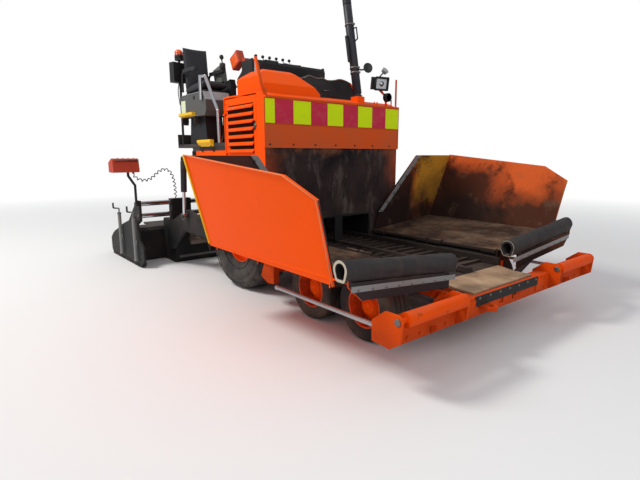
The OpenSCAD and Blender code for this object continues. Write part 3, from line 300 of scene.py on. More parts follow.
def wing_paint(name, side):
    """Bright outside; inside dulled by painted shade and burnt and shadowed from below, with a worn yellowish
    field behind, and a dark floor.
    """
    s = orange_paint(name, 0.0, 0.18)
    inside = s.turned("Y", 0.25, 0.6) if side == RIGHT else s.invert(s.turned("Y", -0.6, -0.25))
    back = s.turned("X", 0.5, 0.9)
    inner = s.math("MAXIMUM", inside, back)
    # Painted shade: the inward and backward faces are dulled to a darker orange
    s.over(lin(196, 96, 50), s.times(inner, 0.75), 0.7)
    worn = s.times(back, s.axis("Y", 950, 1150, 300, 2), s.axis("Z", 720, 860, 200, 3), 0.85)
    s.over(lin(186, 138, 44), worn, 0.8)
    # Darker towards the bottom inside: burnt paint and a painted shadow
    burnt_and_shadowed_below = s.invert(s.axis("Z", 840, 1120, 750, 2.2))
    s.over(lin(62, 42, 34), s.times(inner, burnt_and_shadowed_below, 0.95), 0.8)
    s.over(lin(34, 28, 26), s.times(inner, s.patches(0.5, 0.62, 2.4, 10, 0.7), 0.85), 0.8)
    # On the left wing, a painted shadow cast by the machine over burnt paint darkens the inside towards the
    # rear and the back wall towards the inner corner
    if side == LEFT:
        rearward = s.invert(s.axis("X", 702.5, 1102.5, 700, 2))
        inward = s.invert(s.axis("Y", 980, 1120, 300, 2))
        s.over(lin(48, 35, 31), s.times(inside, rearward, s.invert(s.axis("Z", 1160, 1300, 250)), 0.9), 0.85)
        s.over(lin(40, 32, 30), s.times(back, inward, s.invert(s.axis("Z", 1150, 1300, 300)), 0.9), 0.85)
    s.over(lin(120, 92, 72), s.times(inner, s.patches(0.58, 0.75, 6, 10), 0.55), 0.9)
    if side == RIGHT:
        s.over(lin(56, 51, 52), s.times(inner, 0.9), 0.85)
    s.over(lin(46, 38, 35), s.region(Y=(-520, 520), Z=(500, 620)), 0.8)
    up = s.times(s.turned("Z", 0.75, 0.95), s.invert(s.axis("Z", 900, 1000)))
    s.over(lin(58, 46, 40), up, 0.75)
    s.over(lin(122, 98, 80), s.times(up, s.patches(0.42, 0.66, 3, 10, 0.65)), 0.9)
    s.over(lin(96, 62, 44), s.times(up, s.patches(0.52, 0.7, 11, 10), 0.8), 0.85)
    s.bump(s.times(s.math("MAXIMUM", inner, up), s.noise(24, 12, 0.7)), 0.5, 0.006)
    return s


wing_r = wing_paint("wing_paint_right", RIGHT)
wing_l = wing_paint("wing_paint_left", LEFT)

# Bulkhead: faded above, its front face dulled by painted shade, stained by asphalt below and dark with
# painted shade in its tunnels
wall = orange_paint("bulkhead_paint", 0.0, 0.2)
front = wall.turned("X", 0.5, 0.9)
# Painted shade: the front face, turned from the light, is dulled to a darker orange
wall.over(lin(214, 88, 40), wall.times(front, 0.85), 0.65)
wall.over(lin(196, 98, 60), wall.times(front, wall.patches(0.4, 0.7, 3, 8), 0.7), 0.75)
low_wall = wall.times(front, wall.invert(wall.axis("Z", 1435, 1437)))
wall.over(lin(60, 48, 46), low_wall, 0.8)
wall.over(lin(32, 28, 31), wall.times(low_wall, wall.patches(0.38, 0.6, 1.9, 10, 0.7)), 0.8)
streaks = wall.patches(0.54, 0.7, 4.4, 12, 0.75, (1, 1, 0.35))
wall.over(lin(112, 100, 94), wall.times(low_wall, streaks, 0.7), 0.9)
for near in (wall.axis("Y", 660, 860, 450, 3), wall.invert(wall.axis("Y", -860, -660, 450, 3))):
    wall.over(lin(158, 78, 50), wall.times(low_wall, near, wall.axis("Z", 1000, 1320, 700, 2.5), 0.85), 0.8)
under_edge = wall.times(low_wall, wall.axis("Z", 1340, 1440, 160, 5), wall.patches(0.45, 0.6, 7, 10), 0.8)
wall.over(lin(132, 84, 60), under_edge, 0.8)
# Painted shade: the faces inside the tunnels are darkened
tunnels = wall.times(wall.invert(wall.axis("Z", 1000, 1004)), wall.invert(front), wall.within("Y", -500, 500))
wall.over(lin(34, 30, 29), tunnels, 0.85)
wall.bump(wall.times(low_wall, wall.noise(20, 12, 0.7)), 0.6, 0.006)

# Paint and metal
black = dusty("black_paint", lin(34, 34, 38), 0.5, 0.0, 0.22, 0.3)
deck_black = dusty("deck_paint", lin(38, 38, 42), 0.55, 0.0, 0.25, 0.2)
screed_black = dusty("screed_paint", lin(22, 22, 24), 0.6, 0.0, 0.12, 0.4)
grey_strip = dusty("zinc_strip", lin(140, 142, 142), 0.5, 0.3, 0.25, 0.35)
rod_grey = dusty("rod_grey", lin(176, 178, 180), 0.4, 0.5, 0.1, 0.1)
chrome = Shader("chrome", lin(205, 205, 208), 0.14, 1.0)
yellow = dusty("yellow_paint", lin(246, 196, 22), 0.5, 0.0, 0.12, 0.08)
stack = dusty("stack_paint", lin(40, 42, 50), 0.42, 0.1, 0.1, 0.1)
steel = dusty("worn_steel", lin(92, 80, 72), 0.5, 0.7, 0.35, 0.45)
# The conveyor's steel is dark plate, darkened further as painted shade
floor_steel = dusty("conveyor_steel", lin(46, 38, 35), 0.6, 0.3, 0.3, 0.6, lin(96, 76, 64))
bare = dusty("bare_steel", lin(120, 118, 115), 0.4, 0.9, 0.15, 0.15)
apron = dusty("apron_steel", lin(150, 120, 94), 0.7, 0.1, 0.5, 0.2, lin(190, 158, 126))
apron.over(lin(70, 56, 48), apron.times(apron.patches(0.5, 0.7, 3, 10, 0.7), 0.7), 0.8)
red_box = dusty("brick_red", lin(186, 62, 36), 0.5, 0.0, 0.15, 0.15)
casing = dusty("instrument_casing", lin(104, 110, 102), 0.5, 0.0, 0.15, 0.15)
rim_paint = orange_paint("rim_paint", 0.25, 0.5)
bracket = orange_paint("lamp_bracket", 0.0, 0.1)

# Rubber, vinyl and plastic
tyre = Shader("tyre", lin(40, 39, 38), 0.8)
tyre.over(lin(112, 102, 92), tyre.times(tyre.patches(0.4, 0.7, 6, 8), 0.55), 0.95)
tyre.bump(tyre.noise(90, 6), 0.3, 0.002)
roll = Shader("roll_rubber", lin(38, 34, 35), 0.75)
roll.over(lin(66, 56, 52), roll.times(roll.patches(0.45, 0.7, 4, 10, 0.7, (1, 3, 0.4)), 0.7), 0.9)
roll.over(lin(112, 96, 84), roll.times(roll.patches(0.6, 0.75, 11, 12, 0.75), 0.4), 0.95)
roll.bump(roll.noise(9, 10, 0.7, (1, 0.25, 1)), 0.8, 0.012)
cut_rubber = Shader("cut_rubber", lin(188, 176, 158), 0.8)
seal = Shader("seal_rubber", lin(30, 27, 26), 0.85)
vinyl = Shader("seat_vinyl", lin(30, 30, 36), 0.55)
vinyl.bump(vinyl.noise(240, 3), 0.2, 0.0006)
jacket = Shader("cord_jacket", lin(24, 24, 25), 0.45)
plastic = Shader("black_plastic", lin(24, 24, 26), 0.45)
knob = Shader("knob_plastic", lin(16, 16, 17), 0.3)

# Signs, lamps and glass
lime = Shader("reflective_lime", lin(214, 240, 2), 0.5)
lime.bsdf.inputs["Specular IOR Level"].default_value = 0.15
lime.over(lin(190, 206, 30), lime.times(lime.patches(0.5, 0.75, 9, 10), 0.4), 0.6)
magenta = Shader("reflective_red", lin(200, 42, 72), 0.5)
magenta.bsdf.inputs["Specular IOR Level"].default_value = 0.15
magenta.over(lin(204, 88, 92), magenta.times(magenta.patches(0.5, 0.68, 11, 12, 0.75), 0.7), 0.65)
label = Shader("blank_label", lin(214, 224, 190), 0.5)
amber = Shader("amber_lens", lin(240, 96, 26), 0.2)
amber.bsdf.inputs["Coat Weight"].default_value = 0.6
lamp_lens = Shader("lamp_lens", lin(206, 210, 212), 0.18)
lamp_lens.bump(lamp_lens.noise(120, 2), 0.5, 0.002)
mirror = Shader("mirror_glass", lin(200, 204, 206), 0.05, 1.0)
dial = Shader("dial_face", lin(222, 222, 218), 0.4)
# Black for the stand's instrument, and painted shade behind the louvres and in the front tyres' grooves
dark = Shader("black_and_painted_shade", lin(10, 10, 11), 0.9)

# Nodes of two finishes: the second lies where the piece is. In the door louvres, and partly in the conveyor
# lane, the second is a painted shade.
door_paint = orange_paint("door_paint", 0.0, 0.2)
# Painted shade: the louvres' recesses and the bars between them, under each blade, are darkened
door_paint.over(lin(44, 18, 12), door_paint.region(X=(-671, -183), Y=(-871.2, 871.2), Z=(1391, 1844.5)), 0.8)
box_grey = dusty("side_box_grey", lin(84, 84, 82), 0.5, 0.0, 0.15, 0.1)
box_grey.over(lin(30, 30, 33), box_grey.invert(box_grey.axis("Z", 1799.4, 1799.8)), 0.6)
low_cover = hood_paint.region(X=(-701.5, -328.5), Y=(-101, 333.5), Z=(1936.5, 2200))
hood_paint.over(lin(34, 34, 38), low_cover, 0.5)
frame_paint.over(lin(30, 29, 30), frame_paint.invert(frame_paint.axis("X", -1452.5, -1447.5)), 0.6)
# Darker in the conveyor lane behind the apron lip: painted shade over the lane's dark plates
behind_lip = frame_paint.invert(frame_paint.axis("X", 1582.5, 1592.5))
lane = frame_paint.region(Y=(-440.5, 440.2), Z=(360, 1200))
frame_paint.over(lin(32, 28, 27), frame_paint.times(lane, behind_lip), 0.85)
frame_paint.over(lin(44, 36, 33), frame_paint.region(Z=(488, 600), X=(2.5, 1592.5)), 0.8)
red_box.over(lin(34, 34, 37), red_box.invert(red_box.axis("Z", 1170.5, 1171)), 0.5)
for side in (-1, 1):
    for z in GUIDE_Z:
        tube = screed_black.times(screed_black.near("XZ", GUIDE_X, z, 30.4),
            screed_black.within("Y", *sorted((side * 300, side * 1264.8))))
        screed_black.over(lin(205, 205, 208), tube, 0.14, 1.0)
    for x in JACK_X:
        jack = screed_black.times(screed_black.near("XY", x, side * JACK_Y, 35.5),
            screed_black.within("Z", 60.5, 700))
        screed_black.over(lin(128, 128, 126), jack, 0.45)
wheels = {}
for n, x in FRONT_WHEELS:
    w = wheels[n] = dusty(f"front_wheel_{n}", lin(40, 39, 38), 0.8, 0.0, 0.4, 0.2)
    rim = w.near("XZ", x, FRONT_Z, 163.2)
    w.over(lin(214, 78, 22), rim, 0.5)
    w.over(lin(70, 52, 40), w.times(rim, w.patches(0.45, 0.65, 12, 10, 0.7), 0.7), 0.8)

FINISH = (
    (frame_paint, ["main_frame", "bumper_beam", *both("push_roller")]),
    (wall, ["bulkhead"]),
    (hood_paint, ["engine_hood"]),
    (door_paint, both("side_door")),
    (rim_paint, both("rear_rim")),
    (wing_r, ["wing_right"]),
    (wing_l, ["wing_left"]),
    (black, ["rear_axle_housing", "front_bogie", "engine_block", "screed_lift_barrels", "work_lamps",
        *both("wing_barrel")]),
    (deck_black, ["deck", "console"]),
    (screed_black, ["tow_arms", "screed_body", "screed_walkway", *both("extension")]),
    (plastic, ["beacon_mast"]),
    (stack, ["exhaust_stack"]),
    (box_grey, ["side_boxes"]),
    (rod_grey, ["guide_rods"]),
    (floor_steel, ["conveyor"]),
    (apron, ["apron_lip"]),
    (chrome, ["handrails", "screed_lift_rods", *both("wing_rod")]),
    (yellow, ["steps"]),
    (roll, both("wing_roll")),
    (tyre, both("rear_tyre")),
    (vinyl, ["seats"]),
    (jacket, ["control_cord"]),
    (steel, both("auger", "knuckle_1", "knuckle_2")),
    (red_box, both("control_box")),
    (wheels[1], both("front_wheel_1")),
    (wheels[2], both("front_wheel_2")),
)
finish_of = {name: shader for shader, names in FINISH for name in names}
for name, node in nodes.items():
    node.data.materials.clear()
    node.data.materials.append(finish_of[name].mat)


# Pieces
def skin(rings, n, closed=True):
    """The faces between rings of n points each, numbered ring after ring."""
    return [(j * n + i, j * n + (i + 1) % n, (j + 1) * n + (i + 1) % n, (j + 1) * n + i)
        for j in range(rings - 1) for i in range(n if closed else n - 1)]


def caps(rings, n):
    """The faces that close the first ring and the last."""
    last = (rings - 1) * n
    return [tuple(range(n))[::-1], tuple(last + i for i in range(n))]


class Kit:
    """Collects simple solids in millimetres and makes them one piece, a material for each part."""

    def __init__(self):
        self.v, self.f, self.m, self.smooth, self.mats = [], [], [], [], []

    def add(self, verts, faces, shader, smooth=False):
        if shader not in self.mats:
            self.mats.append(shader)
        k, start = self.mats.index(shader), len(self.v)
        self.v += [Vector(v) for v in verts]
        for f in faces:
            self.f.append([start + i for i in f])
            self.m.append(k)
            self.smooth.append(smooth)

    def box(self, lo, hi, shader, turn=None, about=None):
        v = [Vector((x, y, z)) for x in (lo[0], hi[0]) for y in (lo[1], hi[1]) for z in (lo[2], hi[2])]
        if turn is not None:
            about = Vector(about if about is not None else [(a + b) / 2 for a, b in zip(lo, hi)])
            v = [about + turn @ (p - about) for p in v]
        faces = [(0, 1, 3, 2), (4, 6, 7, 5), (0, 4, 5, 1), (2, 3, 7, 6), (0, 2, 6, 4), (1, 5, 7, 3)]
        self.add(v, faces, shader)

    def lathe(self, at, axis, profile, shader, n=24, smooth=True, ring=False):
        """Turns points (along, radius) about an axis through at.

        Both ends are closed, or joined to each other for a ring.
        """
        axis = Vector(axis).normalized()
        side = axis.orthogonal().normalized()
        up = axis.cross(side)
        verts = [Vector(at) + axis * a + (side * math.cos(t) + up * math.sin(t)) * r
            for a, r in profile for t in [2 * math.pi * i / n for i in range(n)]]
        faces = skin(len(profile), n)
        if ring:
            last = len(verts) - n
            faces += [(last + i, last + (i + 1) % n, (i + 1) % n, i) for i in range(n)]
        else:
            faces += caps(len(profile), n)
        self.add(verts, faces, shader, smooth)

    def rod(self, p, q, r, shader, n=16):
        p, q = Vector(p), Vector(q)
        self.lathe(p, q - p, [(0, r), ((q - p).length, r)], shader, n)

    def tube(self, points, r, shader, n=10):
        verts, faces = sweep(points, r, n)
        self.add(verts, faces, shader, True)

    def bolt(self, at, axis, r, shader=bare):
        """A hexagon head of radius r on its washer."""
        axis = Vector(axis).normalized()
        at = Vector(at)
        self.lathe(at, axis, [(-1, r * 1.5), (0.16 * r, r * 1.5), (0.2 * r, r * 1.4)], shader, 16, False)
        self.lathe(at, axis, [(0, r * 1.08), (0.8 * r, r * 1.08), (0.95 * r, r * 0.9)], shader, 6, False)

    def prism(self, outline, axis, a, b, shader):
        """An outline in the two other axes, in x, y, z order, drawn out from a to b."""
        def point(p, c):
            q = list(p)
            q.insert("xyz".index(axis), c)
            return q
        n = len(outline)
        verts = [point(p, a) for p in outline] + [point(p, b) for p in outline]
        self.add(verts, caps(2, n), shader)
        self.add(verts, skin(2, n), shader)

    def make(self, name, body, replaces=()):
        """Makes the piece, which rides on a body and may stand for CAD nodes."""
        mesh = bpy.data.meshes.new(name)
        mesh.from_pydata([row(v) for v in self.v], [], self.f)
        for s in self.mats:
            mesh.materials.append(s.mat)
        mesh.polygons.foreach_set("material_index", self.m)
        mesh.polygons.foreach_set("use_smooth", self.smooth)
        mesh.update()
        obj = bpy.data.objects.new(name, mesh)
        bpy.context.scene.collection.objects.link(obj)
        bm = bmesh.new()
        bm.from_mesh(mesh)
        bmesh.ops.recalc_face_normals(bm, faces=bm.faces)
        bm.to_mesh(mesh)
        bm.free()
        if body:
            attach(obj, body)
        if replaces:
            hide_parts(*replaces)
        return obj


def sweep(points, radius, n):
    """A tube round a line of points, its rings turned as little as possible."""
    pts = [Vector(p) for p in points]
    count = len(pts)
    dirs = [(pts[min(i + 1, count - 1)] - pts[max(i - 1, 0)]).normalized() for i in range(count)]
    side = dirs[0].orthogonal().normalized()
    verts = []
    for p, d in zip(pts, dirs):
        side = (side - d * side.dot(d)).normalized()
        up = d.cross(side)
        for a in [2 * math.pi * k / n for k in range(n)]:
            verts.append(p + (side * math.cos(a) + up * math.sin(a)) * radius)
    return verts, skin(count, n) + caps(count, n)


def through(points, steps=10):
    """A smooth line through the points."""
    pts = [Vector(p) for p in points]
    pts = [2 * pts[0] - pts[1]] + pts + [2 * pts[-1] - pts[-2]]
    out = []
    for i in range(1, len(pts) - 2):
        a, b, c, d = pts[i - 1:i + 3]
        for k in range(steps):
            t = k / steps
            bend, twist = 2 * a - 5 * b + 4 * c - d, 3 * b - a - 3 * c + d
            out.append(0.5 * (2 * b + (c - a) * t + bend * t * t + twist * t ** 3))
    return out + [pts[-2]]


# Coiled lead from the right control box to the screed's guide shoe
CORD_D, COIL_R, PITCH = 11.0, 14.0, 54.0
POINTS_A_TURN, UNCOILED_END = 18, 45  # the coil's radius grows over its first 45 mm
BOX_END, SHOE_END = (-2230, -1340, 1172), (GUIDE_X, -805, 826)
LEAD_ROUTE = [BOX_END, (-2230, -1335, 1140), (-2230, -1310, 1105), (-2230, -1265, 1082), (-2230, -1215, 1072),
    (-2230, -1165, 1078), (-2230, -1120, 1100), (-2230, -1080, 1132), (-2230, -1040, 1165),
    (-2230, -995, 1192),
    (-2235, -945, 1200), (-2240, -898, 1182), (-2250, -862, 1140), (-2260, -838, 1085), (-2270, -822, 1020),
    (-2280, -812, 955), (-2290, -806, 890), SHOE_END]


def coiled(route):
    """A coil that winds about the route and narrows to it at both ends."""
    reach = [0.0]
    for a, b in zip(route, route[1:]):
        reach.append(reach[-1] + (b - a).length)
    total = reach[-1]
    steps = int(total / PITCH * POINTS_A_TURN)
    coil, k, side = [], 0, None
    for i in range(steps + 1):
        s = total * i / steps
        while k < len(reach) - 2 and reach[k + 1] < s:
            k += 1
        p = route[k].lerp(route[k + 1], (s - reach[k]) / (reach[k + 1] - reach[k]))
        d = (route[min(k + 2, len(route) - 1)] - route[max(k - 1, 0)]).normalized()
        side = d.orthogonal().normalized() if side is None else (side - d * side.dot(d)).normalized()
        up = d.cross(side)
        share = min(1.0, s / UNCOILED_END, (total - s) / UNCOILED_END)
        r = COIL_R * share * share * (3 - 2 * share)
        a = 2 * math.pi * s / PITCH
        coil.append(p + (side * math.cos(a) + up * math.sin(a)) * r)
    return coil


coil = coiled(through(LEAD_ROUTE, 30))
kit = Kit()
kit.tube(coil, CORD_D / 2, jacket, 8)
cord = kit.make("coiled_lead", None, ["control_cord"])
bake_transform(cord)

# Chevron blocks across the bulkhead's upper panel, the first one half as wide
BLOCKS, PANEL_FRONT, PANEL_LOW, PANEL_TOP = 9, 14.2, 1653, 1862
kit = Kit()
y = -BODY
for i in range(BLOCKS):
    wide = 2 * BODY / (BLOCKS - 0.5) * (1 if i else 0.5)
    color = magenta if i % 2 else lime
    kit.box((PANEL_FRONT, y + 1, PANEL_LOW), (PANEL_FRONT + 1, y + wide - 1, PANEL_TOP), color)
    y += wide
kit.make("chevrons", "chassis")

# Bulkhead: bolts, edge bars, tunnel frames, brackets on the top rail, hinge seals of the wings
RAIL_Z, TUNNEL_Z = 1888, (492, 752)
kit = Kit()
for y in range(-820, 741, 260):
    kit.bolt((8, y, 1466), (1, 0, 0), 7, black)
kit.box((0.5, 2 - BODY, 1430), (10, BODY - 2, 1441), wall)
for y, high in ((500, 37), (540, 37), (760, 72)):
    kit.rod((5, y, RAIL_Z), (5, y, RAIL_Z + high), 7, wall)
kit.box((-6, 492, RAIL_Z), (16, 548, RAIL_Z + 8), wall)
for s in (RIGHT, LEFT):
    kit.prism([(-20, 1437), (-20, 1870), (15, 1870), (15, 1437)], "y", s * (BODY + 2), s * (BODY + 10), wall)
for y, half in ((-448, 12), (448, 12), (0, 52)):
    kit.box((-2, y - half, TUNNEL_Z[0]), (12, y + half, TUNNEL_Z[1]), screed_black)
kit.box((-2, -452, TUNNEL_Z[1] - 10), (14, 452, TUNNEL_Z[1] + 14), screed_black)
kit.tube([(-10, -850, RAIL_Z), (-10, -890, 1990), (-10, -940, 2198)], 16, wall)
kit.box((-24, 2 - BODY, 1800), (4, 30 - BODY, 1950), wall)
for s in (RIGHT, LEFT):
    kit.box((92, s * 470 - 26, 490.6), (1526, s * 470 + 26, 517), seal)
    kit.box((92, s * 496.5 - 2.5, 480), (1526, s * 496.5 + 2.5, 534), seal)
kit.make("bulkhead_trim", "chassis")

# Work lamp with its rim, the round lamp below it and the small one above, at the left corner
LAMP_HUB, LAMP_TURN = Vector((-70, 650, 2130)), spin(-15, "Z") @ spin(10)


def at_lamp(x, y, z):
    return LAMP_HUB + LAMP_TURN @ Vector((x, y, z))


kit = Kit()
lens = ((-64, -50), (64, -50), (64, 50), (-64, 50))
kit.add([at_lamp(40, *p) for p in lens], [(0, 1, 2, 3)], lamp_lens)
bezel = ((-80, 65), (80, 65), (80, -65), (-80, -65))
for p, q in zip(bezel, bezel[1:] + bezel[:1]):
    kit.tube([at_lamp(51, *p), at_lamp(51, *q)], 7, plastic, 8)
kit.tube([(-6, 690, RAIL_Z + 1), (-10, 690, 1990), (-70, 650, 2068)], 12.6, bracket, 14)
kit.rod(at_lamp(41, 0, 0), at_lamp(47, 0, 0), 26, mirror, 20)
kit.rod((28, 690, 1980), (33, 690, 1980), 38, lamp_lens, 20)
kit.lathe((29, 690, 1980), (1, 0, 0), [(0, 45), (8, 45), (8, 39), (4, 38)], plastic, 24)
small_lamp = [(0, 8), (60, 8), (62, 30), (100, 38), (104, 30), (106, 0.5)]
kit.lathe(LAMP_HUB + Vector((0, 0, 70)), (0.3, 0.6, 0.7), small_lamp, rod_grey, 16)
kit.make("lamp_trim", "chassis")

# Exhaust stack: sleeve, clamps, horn and foot bolts
kit = Kit()
tilt = math.radians(10.6)
lean = Vector((-math.sin(tilt), 0, math.cos(tilt)))
foot = Vector((-113, 370, 1975))
kit.lathe(foot, lean, [(30, 39), (34, 45.2), (955, 45.2), (962, 39)], stack, 40)
for h in (251, 301, 751):
    p = foot + lean * h
    kit.lathe(p - lean * 8, lean, [(0, 50), (16, 50)], bare, 32)
    kit.box(p + Vector((44, -12, -9)), p + Vector((72, 12, 9)), bare)
    kit.bolt(p + Vector((58, -12, 0)), (0, -1, 0), 5)
arm = [foot + lean * 290 + Vector(p) for p in ((20, 20, 0), (60, 60, -6), (105, 92, 10))]
kit.tube(through(arm, 6), 8, black)
horn = [(-30, 0.5), (-26, 22), (-8, 46), (2, 52), (8, 50), (4, 40), (-2, 0.5)]
kit.lathe(arm[-1], (0.9, -0.35, 0.1), horn, plastic, 28)
for a in [i * math.pi / 3 for i in range(6)]:
    kit.bolt(foot + Vector((42 * math.cos(a), 42 * math.sin(a), 13)), UP, 4)
kit.make("stack_trim", "chassis")

# Wavy cover between the doghouse and the stack, with edge beads, hatch and handle; caps on the body's sides
COVER_FRONT, COVER_BACK, HOOD_Z = -322, -690, 1937
kit = Kit()
crest = through([(-185, 2138), (-120, 2166), (-20, 2150), (60, 2158), (120, 2142), (210, 2148), (300, 2168),
    (380, 2160), (452, 2140)], 5)
outline = [(-150, HOOD_Z)] + [tuple(p) for p in crest] + [(520, 2056), (598, 1950), (598, HOOD_Z)]
kit.prism(outline, "x", COVER_BACK, COVER_FRONT, plastic)
kit.tube([(COVER_FRONT + 1, y, z) for y, z in outline[1:-3]], 8, bare)
kit.tube([(COVER_FRONT + 1, y, z) for y, z in outline[-4:-1]], 10, hood_paint)
kit.box((-321, -60, 1985), (-318, 240, 2085), deck_black)
kit.tube([(-318, 60, 2035), (-300, 60, 2035), (-300, 130, 2035), (-318, 130, 2035)], 6, bare)
for y, z in ((-640, 2181), (-130, HOOD_Z - 1)):
    kit.bolt((-400, y, z), UP, 6, black)
kit.tube([(COVER_BACK, -860, HOOD_Z - 1), (-130, -860, RAIL_Z)], 7, hood_paint)
for s in (RIGHT, LEFT):
    kit.lathe((-150, s * (BODY + 1), 1640), (0, s, 0), [(0, 16), (4, 16), (4, 9), (10, 9)], bare, 20)
kit.make("hood_trim", "chassis")

# Door latches, hinge leaves and the dark panel behind the louvres, a painted shade
for s, word in SIDES:
    kit = Kit()
    kit.box((-170, s * BODY, 1600), (-152, s * (BODY + 8), 1680), plastic)
    # Painted shade: a dark sheet behind the louvre gaps
    kit.box((-672, s * 846.8 - 0.8, 1385), (-182, s * 846.8 + 0.8, 1880), dark)
    kit.rod((-161, s * (BODY + 2), 1620), (-161, s * (BODY + 14), 1620), 8, bare, 12)
    for z in (1420, 1800):
        kit.box((-690, s * (BODY - 0.5), z), (-640, s * (BODY + 3), z + 60), hood_paint)
        for x in (-680, -650):
            kit.bolt((x, s * (BODY + 3), z + 30), (0, s, 0), 5)
    kit.make(f"door_trim_{word}", f"engine_door_{word}")

# Hopper wings: rear edge, upper edge pale with wear and a painted highlight, bolts, and the wiper strip
# against the bulkhead
WING_EDGE = ((136, 1692, 1371), (1338, 1610, 1251), (1585, 1556, 1121), (1549, 1402, 592))
WIPER = ((527, 757), (592, 757), (1113, 1366), (1043, 1366))
WIPER_TILT, WIPER_FOOT = math.radians(8), 550 + 995 * FLOOR_SLOPE
for s, word in SIDES:
    kit = Kit()
    kit.tube([(36, s * 1462, 646), (136, s * 1690, 1366)], 9, yellow if s == RIGHT else wing_l)
    # Wear and a painted highlight: a pale tube along the upper edge
    kit.tube([(x, s * y, z) for x, y, z in WING_EDGE], 4.5, edge)
    for i in range(7):
        z = 776 + i * 92
        kit.bolt((62 + (z - 643) * 0.14, s * (565 + i * 84), z - 4), (1, 0, 0), 7)
    kit.make(f"wing_trim_{word}", f"hopper_wing_{word}")

    kit = Kit()
    cosine, sine = math.cos(WIPER_TILT), math.sin(WIPER_TILT)
    verts = []
    for depth in (9.8, 11.0):
        for y, z in WIPER:
            up = (z - WIPER_FOOT) / cosine
            verts.append((46 + depth * cosine + up * sine, s * y, WIPER_FOOT - depth * sine + up * cosine))
    kit.add(verts, [(0, 1, 2, 3), (4, 5, 6, 7)] + skin(2, 4), grey_strip)
    kit.make(f"wiper_{word}", f"hopper_wing_{word}")

# Rolls: a wrinkled skin over the rolled flap, its cut ends pale, with its clamp strip
ROLL_R, ROLL_X, ROLL_Y, ROLL_N, ROLL_ROWS = 57.5, 1660, (385, 1442), 60, 46
DROP = [(ROLL_R, 0), (56, -12), (43, -57), (32, -69.5), (-24, -69.5), (-38, -58), (-56, -14), (-ROLL_R, 0)]


def lip(y):
    """The height of the hopper floor's front lip."""
    return 550 + (y - 465) * FLOOR_SLOPE


def drop(a):
    """How far the flap's outline lies from the middle of its roll, in the direction a."""
    c, d = math.cos(a), math.sin(a)
    if d >= 0:
        return ROLL_R
    for p, q in zip(DROP, DROP[1:]):
        ex, ez = q[0] - p[0], q[1] - p[1]
        cross = c * ez - d * ex
        if abs(cross) > 1e-9:
            r = (p[0] * ez - p[1] * ex) / cross
            t = (p[0] * d - p[1] * c) / cross
            if r > 0 and -1e-6 <= t <= 1 + 1e-6:
                return r
    return ROLL_R


def wrinkle(a, t):
    """How far the skin stands out at an angle and a share of its length, and not at the clamped foot."""
    if math.sin(a) <= -0.8:
        return 0
    folds = 1.4 * math.sin(3 * a + 9 * t) + 1.2 * math.sin(5 * a - 17 * t)
    return 1.6 + folds + 1.6 * math.sin(31 * t + 2 * math.sin(a)) + random.uniform(-0.5, 0.5)


ROLL_ANGLES = [2 * math.pi * i / ROLL_N for i in range(ROLL_N)]
for s, word in SIDES:
    def on_roll(a, out, y):
        r = drop(a) + out
        return (ROLL_X + r * math.cos(a), s * y, lip(y) + 76 + r * math.sin(a))

    kit = Kit()
    verts = []
    for j in range(ROLL_ROWS + 1):
        t = j / ROLL_ROWS
        y = ROLL_Y[0] + (ROLL_Y[1] - ROLL_Y[0]) * t
        verts += [on_roll(a, wrinkle(a, t), y) for a in ROLL_ANGLES]
    kit.add(verts, skin(ROLL_ROWS + 1, ROLL_N), roll, True)
    for y, deep in ((ROLL_Y[0] - 0.5, 40), (ROLL_Y[1] + 0.5, -40)):
        outer, lip_in, inner = [[on_roll(a, out, y + into) for a in ROLL_ANGLES]
            for out, into in ((1.5, 0), (-16, 0), (-18, deep))]
        kit.add(outer + lip_in, skin(2, ROLL_N), cut_rubber)
        kit.add(lip_in + inner, skin(2, ROLL_N), seal)
    kit.make(f"roll_skin_{word}", f"hopper_wing_{word}")

    kit = Kit()
    for y in range(520, 1347, 118):
        kit.bolt((1710, s * y, lip(y) - 40), (1, 0, 0), 8)
    strip_end = 935 * FLOOR_SLOPE
    kit.prism([(s * 400, 536), (s * 1400, 536 + strip_end), (s * 1400, 500 + strip_end), (s * 400, 500)],
        "x", 1710.5, 1714, grey_strip)
    kit.make(f"roll_strip_{word}", f"hopper_wing_{word}")

# Bumper: bolts, worn plates, a rubber lip, grease caps on the roller ears
BEAM_X = 1901
kit = Kit()
for s in (RIGHT, LEFT):
    for y in (1130, 1010, 760, 560):
        for z in (310, 390):
            kit.bolt((BEAM_X, s * y, z), (1, 0, 0), 9, frame_paint)
    for y, d in ((1281, 1), (635, -1)):
        kit.lathe((1960, s * y, 456), (0, s * d, 0), [(-1, 22), (5, 22), (7, 18)], bare, 20)
    kit.prism([(1905, 285), (1955, 320), (1950, 345), (1905, 330)], "y", s * 900, s * 912, frame_paint)
    kit.box((BEAM_X, s * 470 - 60, 300), (BEAM_X + 6, s * 470 + 60, 400), frame_paint)
kit.box((BEAM_X - 0.5, 70, 315), (BEAM_X + 2, 250, 335), frame_paint)
kit.box((BEAM_X, -430, 352), (BEAM_X + 8, 430, 421), seal)
for y in range(-390, 400, 130):
    kit.bolt((BEAM_X + 8, y, 405), (1, 0, 0), 7)
kit.make("bumper_trim", "chassis")

# Conveyor chains along both edges of each lane
LINKS, LINK_PITCH, LINK_LONG = 120, 24.6, 19
kit = Kit()
for y in (-48, -392, 48, 392):
    for x in [-1390 + i * LINK_PITCH for i in range(LINKS)]:
        kit.box((x, y - 6, 456), (x + LINK_LONG, y + 6, 470), floor_steel)
kit.make("conveyor_chains", "chassis")

# Wheels
BARS, BAR_HALF, SWEEP = 22, 0.045, 0.16  # angles in radians


